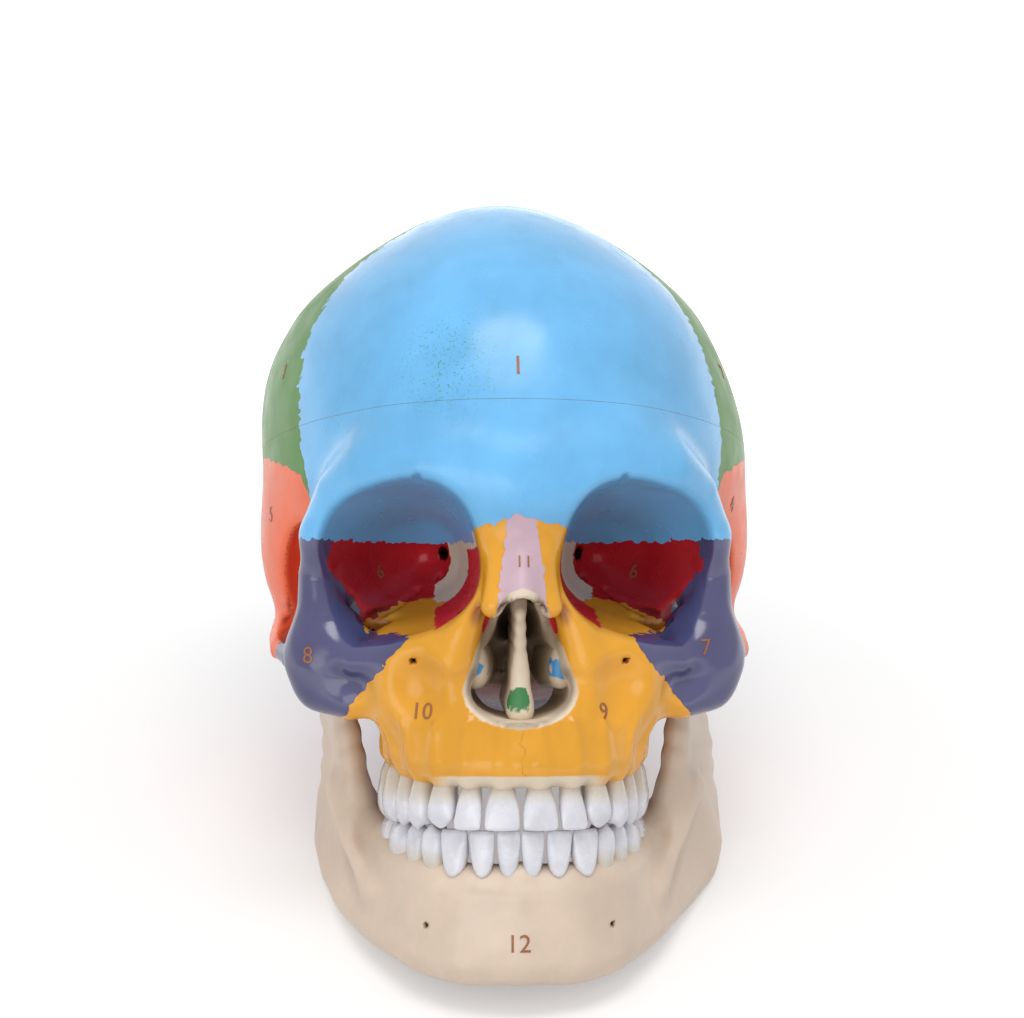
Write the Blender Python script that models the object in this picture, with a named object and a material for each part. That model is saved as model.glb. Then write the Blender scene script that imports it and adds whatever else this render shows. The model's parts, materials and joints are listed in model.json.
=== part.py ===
"""A painted teaching skull at life size: a cap that lifts off, a skull base and a hung jaw.

The skull's own frame has its origin midway between the ear holes, +X to the skull's left,
+Y to the back and +Z up. The finished part leans back until it stands on the jaw and on the
back of the head, with the floor at z = 0.
"""

import math
from collections import Counter

import bmesh
import bpy
import numpy as np
from mathutils import Matrix, Vector
from mathutils.bvhtree import BVHTree

# Driving sizes of the bones, in metres
skull_breadth = 0.144
skull_length = 0.182
skull_height = 0.216
wall = 0.0048
orbit_breadth = 0.0400
orbit_height = 0.0345
septum_thickness = 0.0024
gap = 0.0003
merge_reach = 0.000002
place_digits = 7
space_tolerance = 0.002
grain = 0.0022
overrun = 0.012
flat_depth = 0.0009

# The cap's seam crosses the forehead at this height and falls towards the back
seam_front_height = 0.057
seam_slope_share = -0.115
pin_diameter = 0.0020
pin_length = 0.0090
pin_clearance = 0.0003

# The jaw turns about the line through both jaw heads
jaw_axis_height = -0.0040
jaw_axis_back = -0.0130
jaw_head_radius = 0.0046
jaw_head_width = 0.0190
jaw_head_spread = 0.1010
jaw_clearance = 0.0008
jaw_opening_degrees = 26.0
jaw_lean = 0.0035

# Teeth, from the middle to the back of each quarter
upper_tooth_widths = (0.0086, 0.0068, 0.0078, 0.0070, 0.0068, 0.0102, 0.0096)
lower_tooth_widths = (0.0056, 0.0061, 0.0070, 0.0071, 0.0073, 0.0108, 0.0102)
upper_tooth_depths = (0.0066, 0.0062, 0.0078, 0.0088, 0.0088, 0.0106, 0.0104)
lower_tooth_depths = (0.0058, 0.0060, 0.0072, 0.0076, 0.0080, 0.0100, 0.0098)
bite_height = -0.0537
bite_gap = 0.0006
upper_crown_height = 0.0106
lower_crown_height = 0.0112
root_length = 0.0066
tooth_gap = 0.0004

# Springs inside the cheek arches, and the screws that they hang from
spring_wire = 0.0007
spring_diameter = 0.0044
spring_curls = 8
spring_hook_reach = 0.0022
hook_clearance = 0.0004
hook_stand_off = 0.0046
screw_shank_diameter = 0.0022
screw_shank_in_bone = 0.0030
screw_head_diameter = 0.0050
screw_head_height = 0.0012
screw_clearance = 0.0003

half = Vector((skull_breadth, skull_length, skull_height)) / 2
far = skull_length

# Forms of the bones in shares of half the breadth, length and height. A ball has a centre and
# three radii. A limb is a line of balls, each with its centre and a radius share of the breadth.
vault_shares = (
    ((0, 0.06, 0.42), (0.993, 0.93, 0.68)),
    ((0, -0.15, 0.435), (0.89, 0.80, 0.625)),
    ((0, -0.33, 0.43), (0.78, 0.69, 0.575)),
    ((0.36, 0.31, 0.52), (0.61, 0.505, 0.42)),
    ((0, 0.505, 0.26), (0.72, 0.495, 0.39)),
    ((0, 0.42, -0.02), (0.67, 0.505, 0.315)),
    ((0.28, 0.52, -0.155), (0.36, 0.32, 0.245)),
    ((0.50, 0.02, 0.167), (0.493, 0.505, 0.333)),
    ((0, -0.20, 0.074), (0.47, 0.44, 0.24)),
)
face_ball_shares = (
    ((0, -0.84, 0.33), (0.56, 0.22, 0.15)),
    ((0, -0.66, 0.11), (0.36, 0.29, 0.22)),
    ((0.28, -0.68, 0.20), (0.42, 0.24, 0.15)),
    ((0.54, -0.44, 0.07), (0.19, 0.20, 0.24)),
    ((0.69, -0.68, -0.09), (0.17, 0.10, 0.13)),
    ((0.30, -0.75, -0.15), (0.29, 0.22, 0.22)),
    ((0, -0.81, -0.28), (0.33, 0.18, 0.13)),
    ((0.72, 0.15, -0.09), (0.16, 0.165, 0.185)),
    ((0.69, 0.00, -0.04), (0.19, 0.13, 0.09)),
    ((0.24, 0.15, -0.22), (0.09, 0.13, 0.065)),
)
face_limb_shares = (
    ((0, -0.98, 0.33, 0.11), (0.17, -0.98, 0.36, 0.12), (0.33, -0.94, 0.37, 0.105),
     (0.53, -0.86, 0.35, 0.097), (0.65, -0.77, 0.30, 0.090), (0.72, -0.71, 0.21, 0.078)),
    ((0.71, -0.72, 0.20, 0.075), (0.735, -0.68, 0.11, 0.078), (0.72, -0.68, 0, 0.10),
     (0.71, -0.68, -0.11, 0.125)),
    ((0.69, -0.71, -0.04, 0.076), (0.58, -0.79, -0.05, 0.070), (0.46, -0.85, -0.04, 0.062),
     (0.33, -0.88, 0.01, 0.062), (0.25, -0.90, 0.07, 0.056)),
    ((0.72, -0.68, -0.17, 0.097), (0.61, -0.73, -0.22, 0.097), (0.47, -0.75, -0.21, 0.11)),
    ((0.75, -0.64, -0.09, 0.11), (0.83, -0.53, -0.10, 0.085), (0.905, -0.40, -0.085, 0.070),
     (0.93, -0.26, -0.06, 0.064), (0.91, -0.13, -0.03, 0.070), (0.85, -0.02, 0.01, 0.085),
     (0.81, 0.09, 0.055, 0.085)),
    ((0.24, -0.92, -0.09, 0.083), (0.19, -0.93, 0.02, 0.070), (0.15, -0.93, 0.13, 0.070),
     (0.125, -0.93, 0.24, 0.070)),
    ((0, -0.945, 0.26, 0.083), (0, -0.99, 0.17, 0.076), (0, -1.05, 0.075, 0.066),
     (0, -1.085, 0.03, 0.055)),
    ((0.055, -0.945, 0.24, 0.083), (0.07, -0.99, 0.13, 0.070), (0.10, -1.02, 0.04, 0.055)),
    ((0.42, -0.33, 0, 0.19), (0.56, -0.53, 0.09, 0.14), (0.64, -0.63, 0.10, 0.07)),
    ((0, -0.29, -0.02, 0.18), (0, -0.11, -0.09, 0.15), (0, 0.02, -0.15, 0.125)),
    ((0.20, -0.42, -0.03, 0.10), (0.24, -0.46, -0.15, 0.07), (0.25, -0.46, -0.26, 0.05)),
    ((0, 0.90, 0.12, 0.12), (0, 0.78, -0.06, 0.12), (0, 0.62, -0.20, 0.12)),
    ((0, -0.97, -0.24, 0.05), (0, -1.02, -0.225, 0.03)),
)
upper_ridge_shares = (
    ((0, -0.985, -0.36, 0.085), (0.17, -0.965, -0.36, 0.09), (0.31, -0.88, -0.36, 0.095),
     (0.40, -0.75, -0.355, 0.10), (0.44, -0.60, -0.345, 0.10), (0.44, -0.49, -0.33, 0.097)),
    ((0, -0.92, -0.22, 0.083), (0.17, -0.90, -0.20, 0.097), (0.31, -0.84, -0.20, 0.11),
     (0.375, -0.73, -0.20, 0.11), (0.39, -0.60, -0.20, 0.11), (0.38, -0.50, -0.19, 0.11)),
)
carve_ball_shares = (
    ((0, -0.86, -0.15), (0.20, 0.44, 0.095)),
    ((0, -0.88, -0.03), (0.14, 0.40, 0.11)),
    ((0, -0.66, -0.39), (0.29, 0.30, 0.13)),
    ((0.74, -0.37, -0.21), (0.17, 0.22, 0.24)),
    ((0.76, -0.38, 0.05), (0.125, 0.22, 0.20)),
    ((0.40, -0.99, -0.165), (0.125, 0.09, 0.10)),
)
carve_limb_shares = (
    ((0, -1.25, 0.02, 0.04), (0, -0.88, 0.06, 0.055), (0, -0.66, 0.12, 0.055)),
    ((0.97, 0.03, -0.03, 0.05), (0.63, 0, -0.04, 0.042)),
)
orbit_mouth_share = (0.475, -0.90, 0.155)
orbit_apex_share = (0.22, -0.37, 0.165)
orbit_taper_share = 0.28
spine_hole_shares = ((0, 0.30, -0.22), (0.215, 0.20, 0.30))
septum_outline_shares = ((-0.98, -0.25), (-0.52, -0.24), (-0.52, 0.06), (-0.66, 0.15),
                         (-0.86, 0.13), (-0.99, 0.04))
concha_outline_shares = ((0.22, -0.070), (0.165, -0.055), (0.12, -0.080), (0.10, -0.125),
                         (0.115, -0.165), (0.14, -0.155), (0.13, -0.125), (0.15, -0.100),
                         (0.18, -0.085), (0.22, -0.100))
concha_front_share = -0.88
concha_back_share = -0.56

# The jaw in shares: the low and high edge of its body, the front and back edge of its branch
jaw_body_shares = (
    ((0, -0.925, -0.845, 0.09), (0.19, -0.91, -0.85, 0.097), (0.36, -0.83, -0.83, 0.09),
     (0.52, -0.66, -0.785, 0.083), (0.64, -0.46, -0.73, 0.076), (0.71, -0.28, -0.67, 0.07),
     (0.735, -0.17, -0.600, 0.07)),
    ((0, -0.945, -0.665, 0.076), (0.18, -0.925, -0.66, 0.076), (0.31, -0.84, -0.65, 0.083),
     (0.40, -0.69, -0.625, 0.09), (0.46, -0.53, -0.59, 0.097), (0.56, -0.42, -0.54, 0.083),
     (0.65, -0.33, -0.46, 0.07)),
)
jaw_branch_shares = (
    ((0.56, -0.47, -0.57, 0.07), (0.61, -0.47, -0.42, 0.062), (0.645, -0.475, -0.23, 0.055),
     (0.655, -0.475, -0.11, 0.042)),
    ((0.745, -0.13, -0.60, 0.07), (0.745, -0.10, -0.47, 0.058), (0.73, -0.12, -0.28, 0.054),
     (0.70, -0.145, -0.10, 0.052)),
)
upper_screw_share = (0.80, -0.33, 0.070)
lower_screw_share = (0.95, -0.37, -0.205)
pin_direction_shares = ((0.0, -1.0), (0.80, 0.60))
jaw_notch_shares = ((0.69, -0.30, -0.055), (0.22, 0.105, 0.115))
chin_shares = ((0, -0.965, -0.80), (0.17, 0.055, 0.075))
lower_ridge_shares = ((0, -0.955), (0.18, -0.935), (0.31, -0.85), (0.40, -0.71), (0.46, -0.53),
                      (0.50, -0.40))
upper_lean_shares = (0.30, 0.28, 0.18, 0.08, 0.05, 0.0, 0.0)
lower_lean_shares = (0.22, 0.20, 0.10, 0.0, -0.05, -0.10, -0.10)
bite_edge_shares = (0.26, 0.26, 0.30, 0.62, 0.66, 0.78, 0.78)
inner_taper_shares = (0.12, 0.16, 0.26, 0.16, 0.08, 0.06, 0.04)

# Outlines of the blocks that part the bones. Each takes its share of what those before it left:
# a side block lists (y, z) rows and reaches from one x to another, a front block lists (x, z)
# rows, and a top block (x, y) rows.
bone_blocks = (
    ("frontal", (("side", ((-1.4, 0.215), (-0.60, 0.215), (-0.50, 0.26), (-0.385, 0.50),
                           (-0.15, 1.09), (-0.10, 1.5), (-1.4, 1.5)), -0.1, 1.4),)),
    ("nasal", (("front", ((-0.05, 0.262), (0.075, 0.262), (0.085, 0.16), (0.115, 0.05),
                          (0.13, -0.06), (-0.05, -0.06)), -1.4, -0.86),)),
    ("zygomatic", (("front", ((0.40, -0.035), (0.655, -0.245), (0.66, -0.45), (1.3, -0.45),
                              (1.3, 0.24), (0.52, 0.24), (0.56, 0.10)), -1.0, -0.30),
                   ("top", ((0.30, -1.10), (1.40, -1.10), (1.40, -0.47), (0.80, -0.47),
                            (0.80, -0.61), (0.30, -0.64)), -1.0, 1.0))),
    ("lacrimal", (("side", ((-0.87, 0.035), (-0.76, 0.035), (-0.76, 0.19), (-0.87, 0.19)),
                   0.10, 0.30),)),
    ("ethmoid", (("side", ((-0.84, 0.02), (-0.49, 0.02), (-0.49, 0.28), (-0.84, 0.28)),
                  -0.1, 0.23),)),
    ("maxilla", (("side", ((-1.4, -0.8), (-0.50, -0.8), (-0.50, 0.03), (-0.60, 0.07),
                           (-0.62, 0.30), (-1.4, 0.30)), -0.1, 0.74),)),
    ("sphenoid", (("side", ((-0.80, -0.60), (-0.22, -0.60), (-0.22, 0.02), (-0.34, 0.06),
                            (-0.34, 0.36), (-0.80, 0.36)), -0.1, 0.86),)),
    ("temporal", (("side", ((-0.60, -0.06), (-0.345, 0.04), (-0.335, 0.27), (-0.20, 0.36),
                            (0.02, 0.385), (0.22, 0.33), (0.30, 0.15), (0.44, 0.02),
                            (0.36, -0.26), (0.10, -0.60), (-0.20, -0.30), (-0.20, -0.15),
                            (-0.55, -0.16)), 0.10, 1.4),
                  ("top", ((0.17, -0.7), (0.17, -0.21), (0.34, 0.02), (0.44, 0.50), (1.4, 0.50),
                           (1.4, -0.7)), -1.0, 1.0))),
    ("parietal", (("side", ((-0.50, 0.0), (0.36, 0.0), (0.62, 0.16), (0.965, 0.60), (1.2, 1.5),
                            (-0.6, 1.5)), -0.1, 1.4),)),
    ("occipital", (("side", ((-0.6, -0.8), (1.4, -0.8), (1.4, 1.5), (-0.6, 1.5)), -0.1, 1.4),)),
)
middle_bones = ("frontal", "nasal", "ethmoid", "sphenoid", "occipital")
cap_bones = ("frontal", "parietal", "occipital")

# How finely each skin is faceted
skin_faces = 3700
cavity_faces = 480
jaw_faces = 900
carve_faces = 4000
flat_degrees = (7, 4, 2)
tooth_sides = 8
rod_sides = 10

# Paints, as linear red, green and blue
paints = {
    "frontal": (0.16, 0.47, 0.85), "parietal": (0.19, 0.35, 0.14),
    "temporal": (0.95, 0.16, 0.08), "occipital": (0.45, 0.20, 0.45),
    "sphenoid": (0.38, 0.01, 0.03), "ethmoid": (0.73, 0.60, 0.42),
    "zygomatic": (0.065, 0.06, 0.17), "maxilla": (0.80, 0.39, 0.02),
    "nasal": (0.60, 0.46, 0.58), "lacrimal": (0.68, 0.02, 0.03),
    "septum": (0.73, 0.60, 0.42), "concha": (0.73, 0.60, 0.42),
    "jaw": (0.73, 0.60, 0.42), "tooth": (0.75, 0.76, 0.80), "steel": (0.56, 0.57, 0.58),
}


def spot(share):
    """A place in the skull's frame from its shares of half the breadth, length and height."""
    return Vector((share[0] * half.x, share[1] * half.y, share[2] * half.z))


def ordered(mesh):
    """The mesh with its points and faces in an order that follows from their places alone, so
    that the number of processor threads doesn't change what is built from it. Two faces on the
    same points close nothing in, so both go."""
    points = np.zeros(len(mesh.vertices) * 3)
    mesh.vertices.foreach_get("co", points)
    points = points.reshape(-1, 3).round(place_digits)
    order = np.lexsort(points.T)
    rank = np.empty(len(order), dtype=int)
    rank[order] = np.arange(len(order))
    faces = []
    for face in mesh.polygons:
        ring = [int(rank[index]) for index in face.vertices]
        first = ring.index(min(ring))
        faces.append(ring[first:] + ring[:first])
    shape = bmesh.new()
    verts = [shape.verts.new(point) for point in points[order].tolist()]
    copies = Counter(frozenset(ring) for ring in faces)
    for ring in sorted(faces):
        if copies.pop(frozenset(ring), 0) % 2:
            shape.faces.new([verts[index] for index in ring])
    return mesh_from(shape)


def shaped(mesh, *changes):
    """The mesh as a row of modifiers leaves it, one after the other."""
    for kind, values in changes:
        work = bpy.data.objects.new("work", mesh)
        bpy.context.scene.collection.objects.link(work)
        change = work.modifiers.new(kind, kind)
        for key, value in values.items():
            setattr(change, key, value)
        bpy.context.view_layer.update()
        seen = work.evaluated_get(bpy.context.evaluated_depsgraph_get())
        mesh = ordered(bpy.data.meshes.new_from_object(seen))
        bpy.data.objects.remove(work)
    return mesh


def is_closed(mesh):
    """Whether a mesh has faces and each of its edges joins exactly two."""
    uses = np.zeros(len(mesh.loops), dtype=np.int32)
    mesh.loops.foreach_get("edge_index", uses)
    return len(uses) > 0 and bool((np.bincount(uses, minlength=len(mesh.edges)) == 2).all())


def held_space(mesh):
    """The space inside a closed mesh."""
    if not mesh.polygons:
        return 0.0
    mesh.calc_loop_triangles()
    points = np.zeros(len(mesh.vertices) * 3)
    mesh.vertices.foreach_get("co", points)
    corners = np.zeros(len(mesh.loop_triangles) * 3, dtype=np.int32)
    mesh.loop_triangles.foreach_get("vertices", corners)
    a, b, c = points.reshape(-1, 3)[corners.reshape(-1, 3)].transpose(1, 0, 2)
    return float((a * np.cross(b, c)).sum()) / 6


def adds_up(mesh, result, rest):
    """Whether what a cut keeps and what it takes away are closed and make the whole again."""
    for part in (result, rest):
        if part.polygons and not is_closed(part):
            return False
    whole = held_space(mesh)
    return abs(held_space(result) + held_space(rest) - whole) < space_tolerance * whole


def solid(mesh, other, operation):
    """One mesh cut by, or joined to, another. The second solver takes over where the first
    leaves an open skin or loses a piece."""
    tool = bpy.data.objects.new("tool", other)
    bpy.context.scene.collection.objects.link(tool)
    opposite = {"DIFFERENCE": "INTERSECT", "INTERSECT": "DIFFERENCE"}
    for solver in ("EXACT", "MANIFOLD"):
        results = []
        for kind in (operation, opposite.get(operation, operation)):
            cut = {"object": tool, "operation": kind, "solver": solver}
            results.append(shaped(mesh, ("BOOLEAN", cut), ("TRIANGULATE", {})))
        if operation == "UNION" and is_closed(results[0]) or adds_up(mesh, *results):
            break
    bpy.data.objects.remove(tool)
    return results[0]


def mesh_from(shape):
    """A mesh that holds a finished bmesh, which is freed."""
    mesh = bpy.data.meshes.new("mesh")
    shape.to_mesh(mesh)
    shape.free()
    return mesh


def mesh_of(build, *values):
    """A mesh from a function that fills a bmesh."""
    shape = bmesh.new()
    build(shape, *values)
    return mesh_from(shape)


def combined(*meshes):
    """Several meshes as one list of faces."""
    shape = bmesh.new()
    for mesh in meshes:
        shape.from_mesh(mesh)
    return mesh_from(shape)


def ball(shape, centre, radii, lean=0.0, detail=3):
    """An ellipsoid, leaned about the front-to-back axis."""
    matrix = Matrix.Translation(centre) @ Matrix.Rotation(lean, 4, "Y")
    matrix = matrix @ Matrix.Diagonal((*radii, 1.0))
    bmesh.ops.create_icosphere(shape, subdivisions=detail, radius=1, matrix=matrix)


def bead(shape, row, grow=0.0):
    """One round ball of a limb or a plate."""
    radius = row[3] * half.x + grow
    ball(shape, spot(row), (radius, radius, radius), detail=2)


def limb(shape, rows, grow=0.0):
    """Balls strung closely along a line."""
    for first, second in zip(rows, rows[1:]):
        distance = (spot(second) - spot(first)).length
        count = max(2, math.ceil(distance / (0.45 * half.x * min(first[3], second[3]))))
        for step in range(count + 1):
            bead(shape, [a + (b - a) * step / count for a, b in zip(first, second)], grow)


def along(rows, share):
    """The row at a share of the way along a list of rows."""
    reach = share * (len(rows) - 1)
    index = min(int(reach), len(rows) - 2)
    part = reach - index
    return [a + (b - a) * part for a, b in zip(rows[index], rows[index + 1])]


def plate(shape, edges, long_steps, wide_steps, grow=0.0):
    """A plate of close balls between two edges."""
    for step in range(long_steps + 1):
        first = along(edges[0], step / long_steps)
        second = along(edges[1], step / long_steps)
        for rung in range(wide_steps + 1):
            share = rung / wide_steps
            bead(shape, [a + (b - a) * share for a, b in zip(first, second)], grow)


def rod(shape, start, end, radius):
    """A round rod between two places."""
    run = end - start
    turn = run.to_track_quat("Z", "Y").to_matrix().to_4x4()
    matrix = Matrix.Translation((start + end) / 2) @ turn
    bmesh.ops.create_cone(shape, cap_ends=True, segments=rod_sides, radius1=radius,
                          radius2=radius, depth=run.length, matrix=matrix)


def both_sides(mesh):
    """The mesh and its mirror image across the middle plane."""
    return combined(mesh, mirrored(mesh))


def mirrored(mesh):
    """The other side's copy of a mesh."""
    shape = bmesh.new()
    shape.from_mesh(mesh)
    bmesh.ops.scale(shape, vec=(-1, 1, 1), verts=shape.verts)
    bmesh.ops.reverse_faces(shape, faces=shape.faces)
    return mesh_from(shape)


def thinned(mesh, faces):
    """The mesh with about so many triangles."""
    ratio = min(1.0, faces / max(1, len(mesh.polygons)))
    return shaped(mesh, ("DECIMATE", {"ratio": ratio}))


def fused(mesh, voxel, smoothing, faces):
    """Overlapping forms melted into one skin of about so many triangles."""
    shape = bmesh.new()
    shape.from_mesh(shaped(mesh, ("REMESH", {"mode": "VOXEL", "voxel_size": voxel})))
    for _ in range(smoothing):
        bmesh.ops.smooth_vert(shape, verts=shape.verts, factor=0.5, use_axis_x=True,
                              use_axis_y=True, use_axis_z=True)
    bmesh.ops.triangulate(shape, faces=shape.faces)
    return thinned(ordered(mesh_from(shape)), faces)


def simplified(mesh):
    """The mesh with its nearly flat stretches drawn with fewer triangles."""
    for degrees in flat_degrees:
        flat = {"decimate_type": "DISSOLVE", "angle_limit": math.radians(degrees)}
        result = shaped(mesh, ("DECIMATE", flat), ("TRIANGULATE", {}))
        if is_closed(result):
            return result
    return mesh


def turned_area(outline):
    """Twice an outline's area, positive where it runs anticlockwise."""
    return sum(a[0] * b[1] - b[0] * a[1] for a, b in zip(outline, outline[1:] + outline[:1]))


def grown(outline, amount):
    """An outline with each edge moved outwards."""
    side = 1 if turned_area(outline) > 0 else -1
    result = []
    for index, here in enumerate(outline):
        first = (here - outline[index - 1]).normalized()
        second = (outline[(index + 1) % len(outline)] - here).normalized()
        out = (Vector((first[1], -first[0])) + Vector((second[1], -second[0]))) * side
        result.append(here + out * amount * 2 / out.length_squared)
    return result


def prism(view, outline, low, high, grow=0.0):
    """A block whose outline is seen from the side, the front or the top."""
    ring = grown([Vector(point) for point in outline], grow)
    axes = {"side": (1, 2, 0), "front": (0, 2, 1), "top": (0, 1, 2)}[view]
    shape = bmesh.new()
    levels = []
    for end in (low - grow, high + grow):
        level = []
        for point in ring:
            place = [0.0, 0.0, 0.0]
            place[axes[0]], place[axes[1]], place[axes[2]] = point[0], point[1], end
            level.append(shape.verts.new(place))
        levels.append(level)
    for index in range(len(ring)):
        after = (index + 1) % len(ring)
        shape.faces.new((levels[0][index], levels[0][after], levels[1][after], levels[1][index]))
    shape.faces.new(levels[0])
    shape.faces.new(levels[1])
    bmesh.ops.recalc_face_normals(shape, faces=shape.faces)
    return mesh_from(shape)


def block(row, grow=0.0):
    """The block, or the common part of the blocks, that takes one bone."""
    scales = {"side": (half.y, half.z, half.x), "front": (half.x, half.z, half.y),
              "top": (half.x, half.y, half.z)}
    result = None
    for view, shares, low, high in row[1]:
        across, up, deep = scales[view]
        outline = [(a * across, b * up) for a, b in shares]
        part = prism(view, outline, low * deep, high * deep, grow)
        result = part if result is None else solid(result, part, "INTERSECT")
    return result


def bodies(shape):
    """The separate bodies of a bmesh, as sets of points."""
    left = set(shape.verts)
    groups = []
    while left:
        stack = [left.pop()]
        group = set(stack)
        while stack:
            for edge in stack.pop().link_edges:
                fresh = [vert for vert in edge.verts if vert in left]
                left.difference_update(fresh)
                group.update(fresh)
                stack.extend(fresh)
        groups.append(group)
    return groups


def filled_space(group):
    """The space that one body's triangles close in."""
    faces = {face for vert in group for face in vert.link_faces}
    return abs(sum(face.verts[0].co.dot(face.verts[1].co.cross(face.verts[2].co))
                   for face in faces)) / 6


def largest(mesh):
    """The mesh with only its largest body, without slivers."""
    shape = bmesh.new()
    shape.from_mesh(mesh)
    bmesh.ops.triangulate(shape, faces=shape.faces)
    groups = sorted(bodies(shape), key=filled_space)
    for group in groups[:-1]:
        bmesh.ops.delete(shape, geom=list(group), context="VERTS")
    return mesh_from(shape)


def closed_over_middle(mesh):
    """A half body joined to its mirror image across the middle plane."""
    shape = bmesh.new()
    shape.from_mesh(mesh)
    for vert in shape.verts:
        if abs(vert.co.x) < gap / 100:
            vert.co.x = 0
    flat = [face for face in shape.faces if all(vert.co.x == 0 for vert in face.verts)]
    bmesh.ops.delete(shape, geom=flat, context="FACES")
    return shaped(mesh_from(shape), ("MIRROR", {"use_axis": (True, False, False),
                                                "merge_threshold": merge_reach}))


def left_block(start):
    """Everything to the skull's left of a place near the middle plane."""
    return prism("side", ((-far, -far), (far, -far), (far, far), (-far, far)), start, far)


def vault_mesh(shrink=0.0):
    """The round brain case, or the space inside its wall."""
    shape = bmesh.new()
    for centre, radii in vault_shares:
        ball(shape, spot(centre), spot(radii) - Vector((shrink, shrink, shrink)), detail=4)
    return fused(both_sides(mesh_from(shape)), grain * 1.5, 24, 6000)


def orbit(shape, grow):
    """An eye socket: a tapering hollow with an oval mouth, wider than high."""
    mouth, apex = spot(orbit_mouth_share), spot(orbit_apex_share)
    run = apex - mouth
    start = mouth - run.normalized() * overrun
    steps = 16
    for step in range(steps + 1):
        centre = start.lerp(apex, step / steps)
        depth = max(0.0, (centre - mouth).dot(run) / run.length_squared)
        size = 1 - (1 - orbit_taper_share) * depth ** 1.5
        radii = (orbit_breadth / 2 * size + grow, orbit_height / 4 + grow,
                 orbit_height / 2 * size + grow)
        ball(shape, centre, radii, lean=math.radians(8))


def carve_mesh(grow=0.0):
    """The hollows of the face: eyes, nose, palate, temples and ears."""
    shape = bmesh.new()
    orbit(shape, grow)
    for centre, radii in carve_ball_shares:
        ball(shape, spot(centre), spot(radii) + Vector((grow, grow, grow)))
    for rows in carve_limb_shares:
        limb(shape, rows, grow)
    return fused(both_sides(mesh_from(shape)), grain, 3, carve_faces)


def jaw_forms(shape, grow=0.0):
    """The left half of the jaw as plates and balls."""
    plate(shape, jaw_body_shares, 24, 5, grow)
    jaw_branch(shape, grow)
    ball(shape, spot(chin_shares[0]), spot(chin_shares[1]))


def jaw_branch(shape, grow=0.0):
    """The upright branch of the jaw, with its head on the axis."""
    plate(shape, jaw_branch_shares, 10, 9, grow)
    head = Vector((jaw_head_spread / 2, jaw_axis_back, jaw_axis_height))
    radius = jaw_head_radius + grow
    ball(shape, head, (jaw_head_width / 2 + grow, radius, radius))


def turned_about_jaw(mesh, degrees):
    """The mesh after the jaw has opened by some degrees."""
    axis = Vector((0, jaw_axis_back, jaw_axis_height))
    turn = Matrix.Translation(axis) @ Matrix.Rotation(math.radians(degrees), 4, "X")
    result = mesh.copy()
    result.transform(turn @ Matrix.Translation(-axis))
    return result


def jaw_path(clearance):
    """The room that the jaw's left branch needs as the jaw opens."""
    branch = mesh_of(jaw_branch, clearance)
    steps = 7
    turned = [turned_about_jaw(branch, jaw_opening_degrees * step / steps)
              for step in range(steps + 1)]
    return fused(combined(*turned), grain * 0.75, 1, 1500)


def lean_jaw(point):
    """The jaw's corners sit a little to the skull's left, as on the real cast."""
    back_share = min(1.0, max(0.0, (point.y / half.y + 0.58) / 0.40))
    down_share = min(1.0, max(0.0, (-point.z / half.z - 0.14) / 0.22))
    share = back_share * down_share
    return Vector((point.x + jaw_lean * share * share * (3 - 2 * share), point.y, point.z))


def leaned(mesh):
    """The mesh with each of its points moved as the jaw leans there."""
    for vert in mesh.vertices:
        vert.co = lean_jaw(vert.co)
    return mesh


def cranium_half():
    """The left half of the cranium as one hollow body, before the bones are parted."""
    shape = bmesh.new()
    for centre, radii in face_ball_shares:
        ball(shape, spot(centre), spot(radii))
    for rows in face_limb_shares:
        limb(shape, rows)
    plate(shape, upper_ridge_shares, 20, 4)
    forms = combined(both_sides(mesh_from(shape)), vault_mesh())
    skin = solid(fused(forms, grain, 5, 16000), carve_mesh(), "DIFFERENCE")
    skin = fused(skin, grain * 0.75, 2, skin_faces)
    space = solid(vault_mesh(wall), carve_mesh(wall), "DIFFERENCE")
    space = solid(space, both_sides(jaw_path(jaw_clearance + wall)), "DIFFERENCE")
    skin = solid(skin, thinned(space, cavity_faces), "DIFFERENCE")
    skin = solid(skin, left_block(0), "INTERSECT")
    hole = mesh_of(ball, spot(spine_hole_shares[0]), spot(spine_hole_shares[1]))
    skin = solid(skin, hole, "DIFFERENCE")
    return solid(skin, jaw_path(jaw_clearance), "DIFFERENCE")


def seam_height(back):
    """The height of the cap's seam at a distance back from the ear holes."""
    return seam_front_height + seam_slope_share * (back + half.y)


def smooth_line(rows, share):
    """A place on the smooth curve through rows of shares."""
    reach = share * (len(rows) - 1)
    index = min(int(reach), len(rows) - 2)
    part = reach - index
    ends = [rows[max(0, index - 1)], rows[index], rows[index + 1],
            rows[min(len(rows) - 1, index + 2)]]
    if index == 0:
        ends[0] = (-rows[1][0], rows[1][1])
    result = []
    for axis, scale in ((0, half.x), (1, half.y)):
        a, b, c, d = (end[axis] * scale for end in ends)
        result.append(b + part * (c - a + part * (2 * a - 5 * b + 4 * c - d
                                                 + part * (3 * (b - c) + d - a))) / 2)
    return Vector((result[0], result[1], 0))


def arch_places(rows, widths):
    """The middle of each tooth along a dental arch, with the arch's direction there."""
    count = 240
    points = [smooth_line(rows, step / count) for step in range(count + 1)]
    places = []
    target = 0.0
    for width in widths:
        middle = target + tooth_gap / 2 + width / 2
        target += width + tooth_gap
        walked = 0.0
        for first, second in zip(points, points[1:]):
            walked += (second - first).length
            if walked >= middle:
                break
        places.append((second, (second - first).normalized()))
    return places


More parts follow.
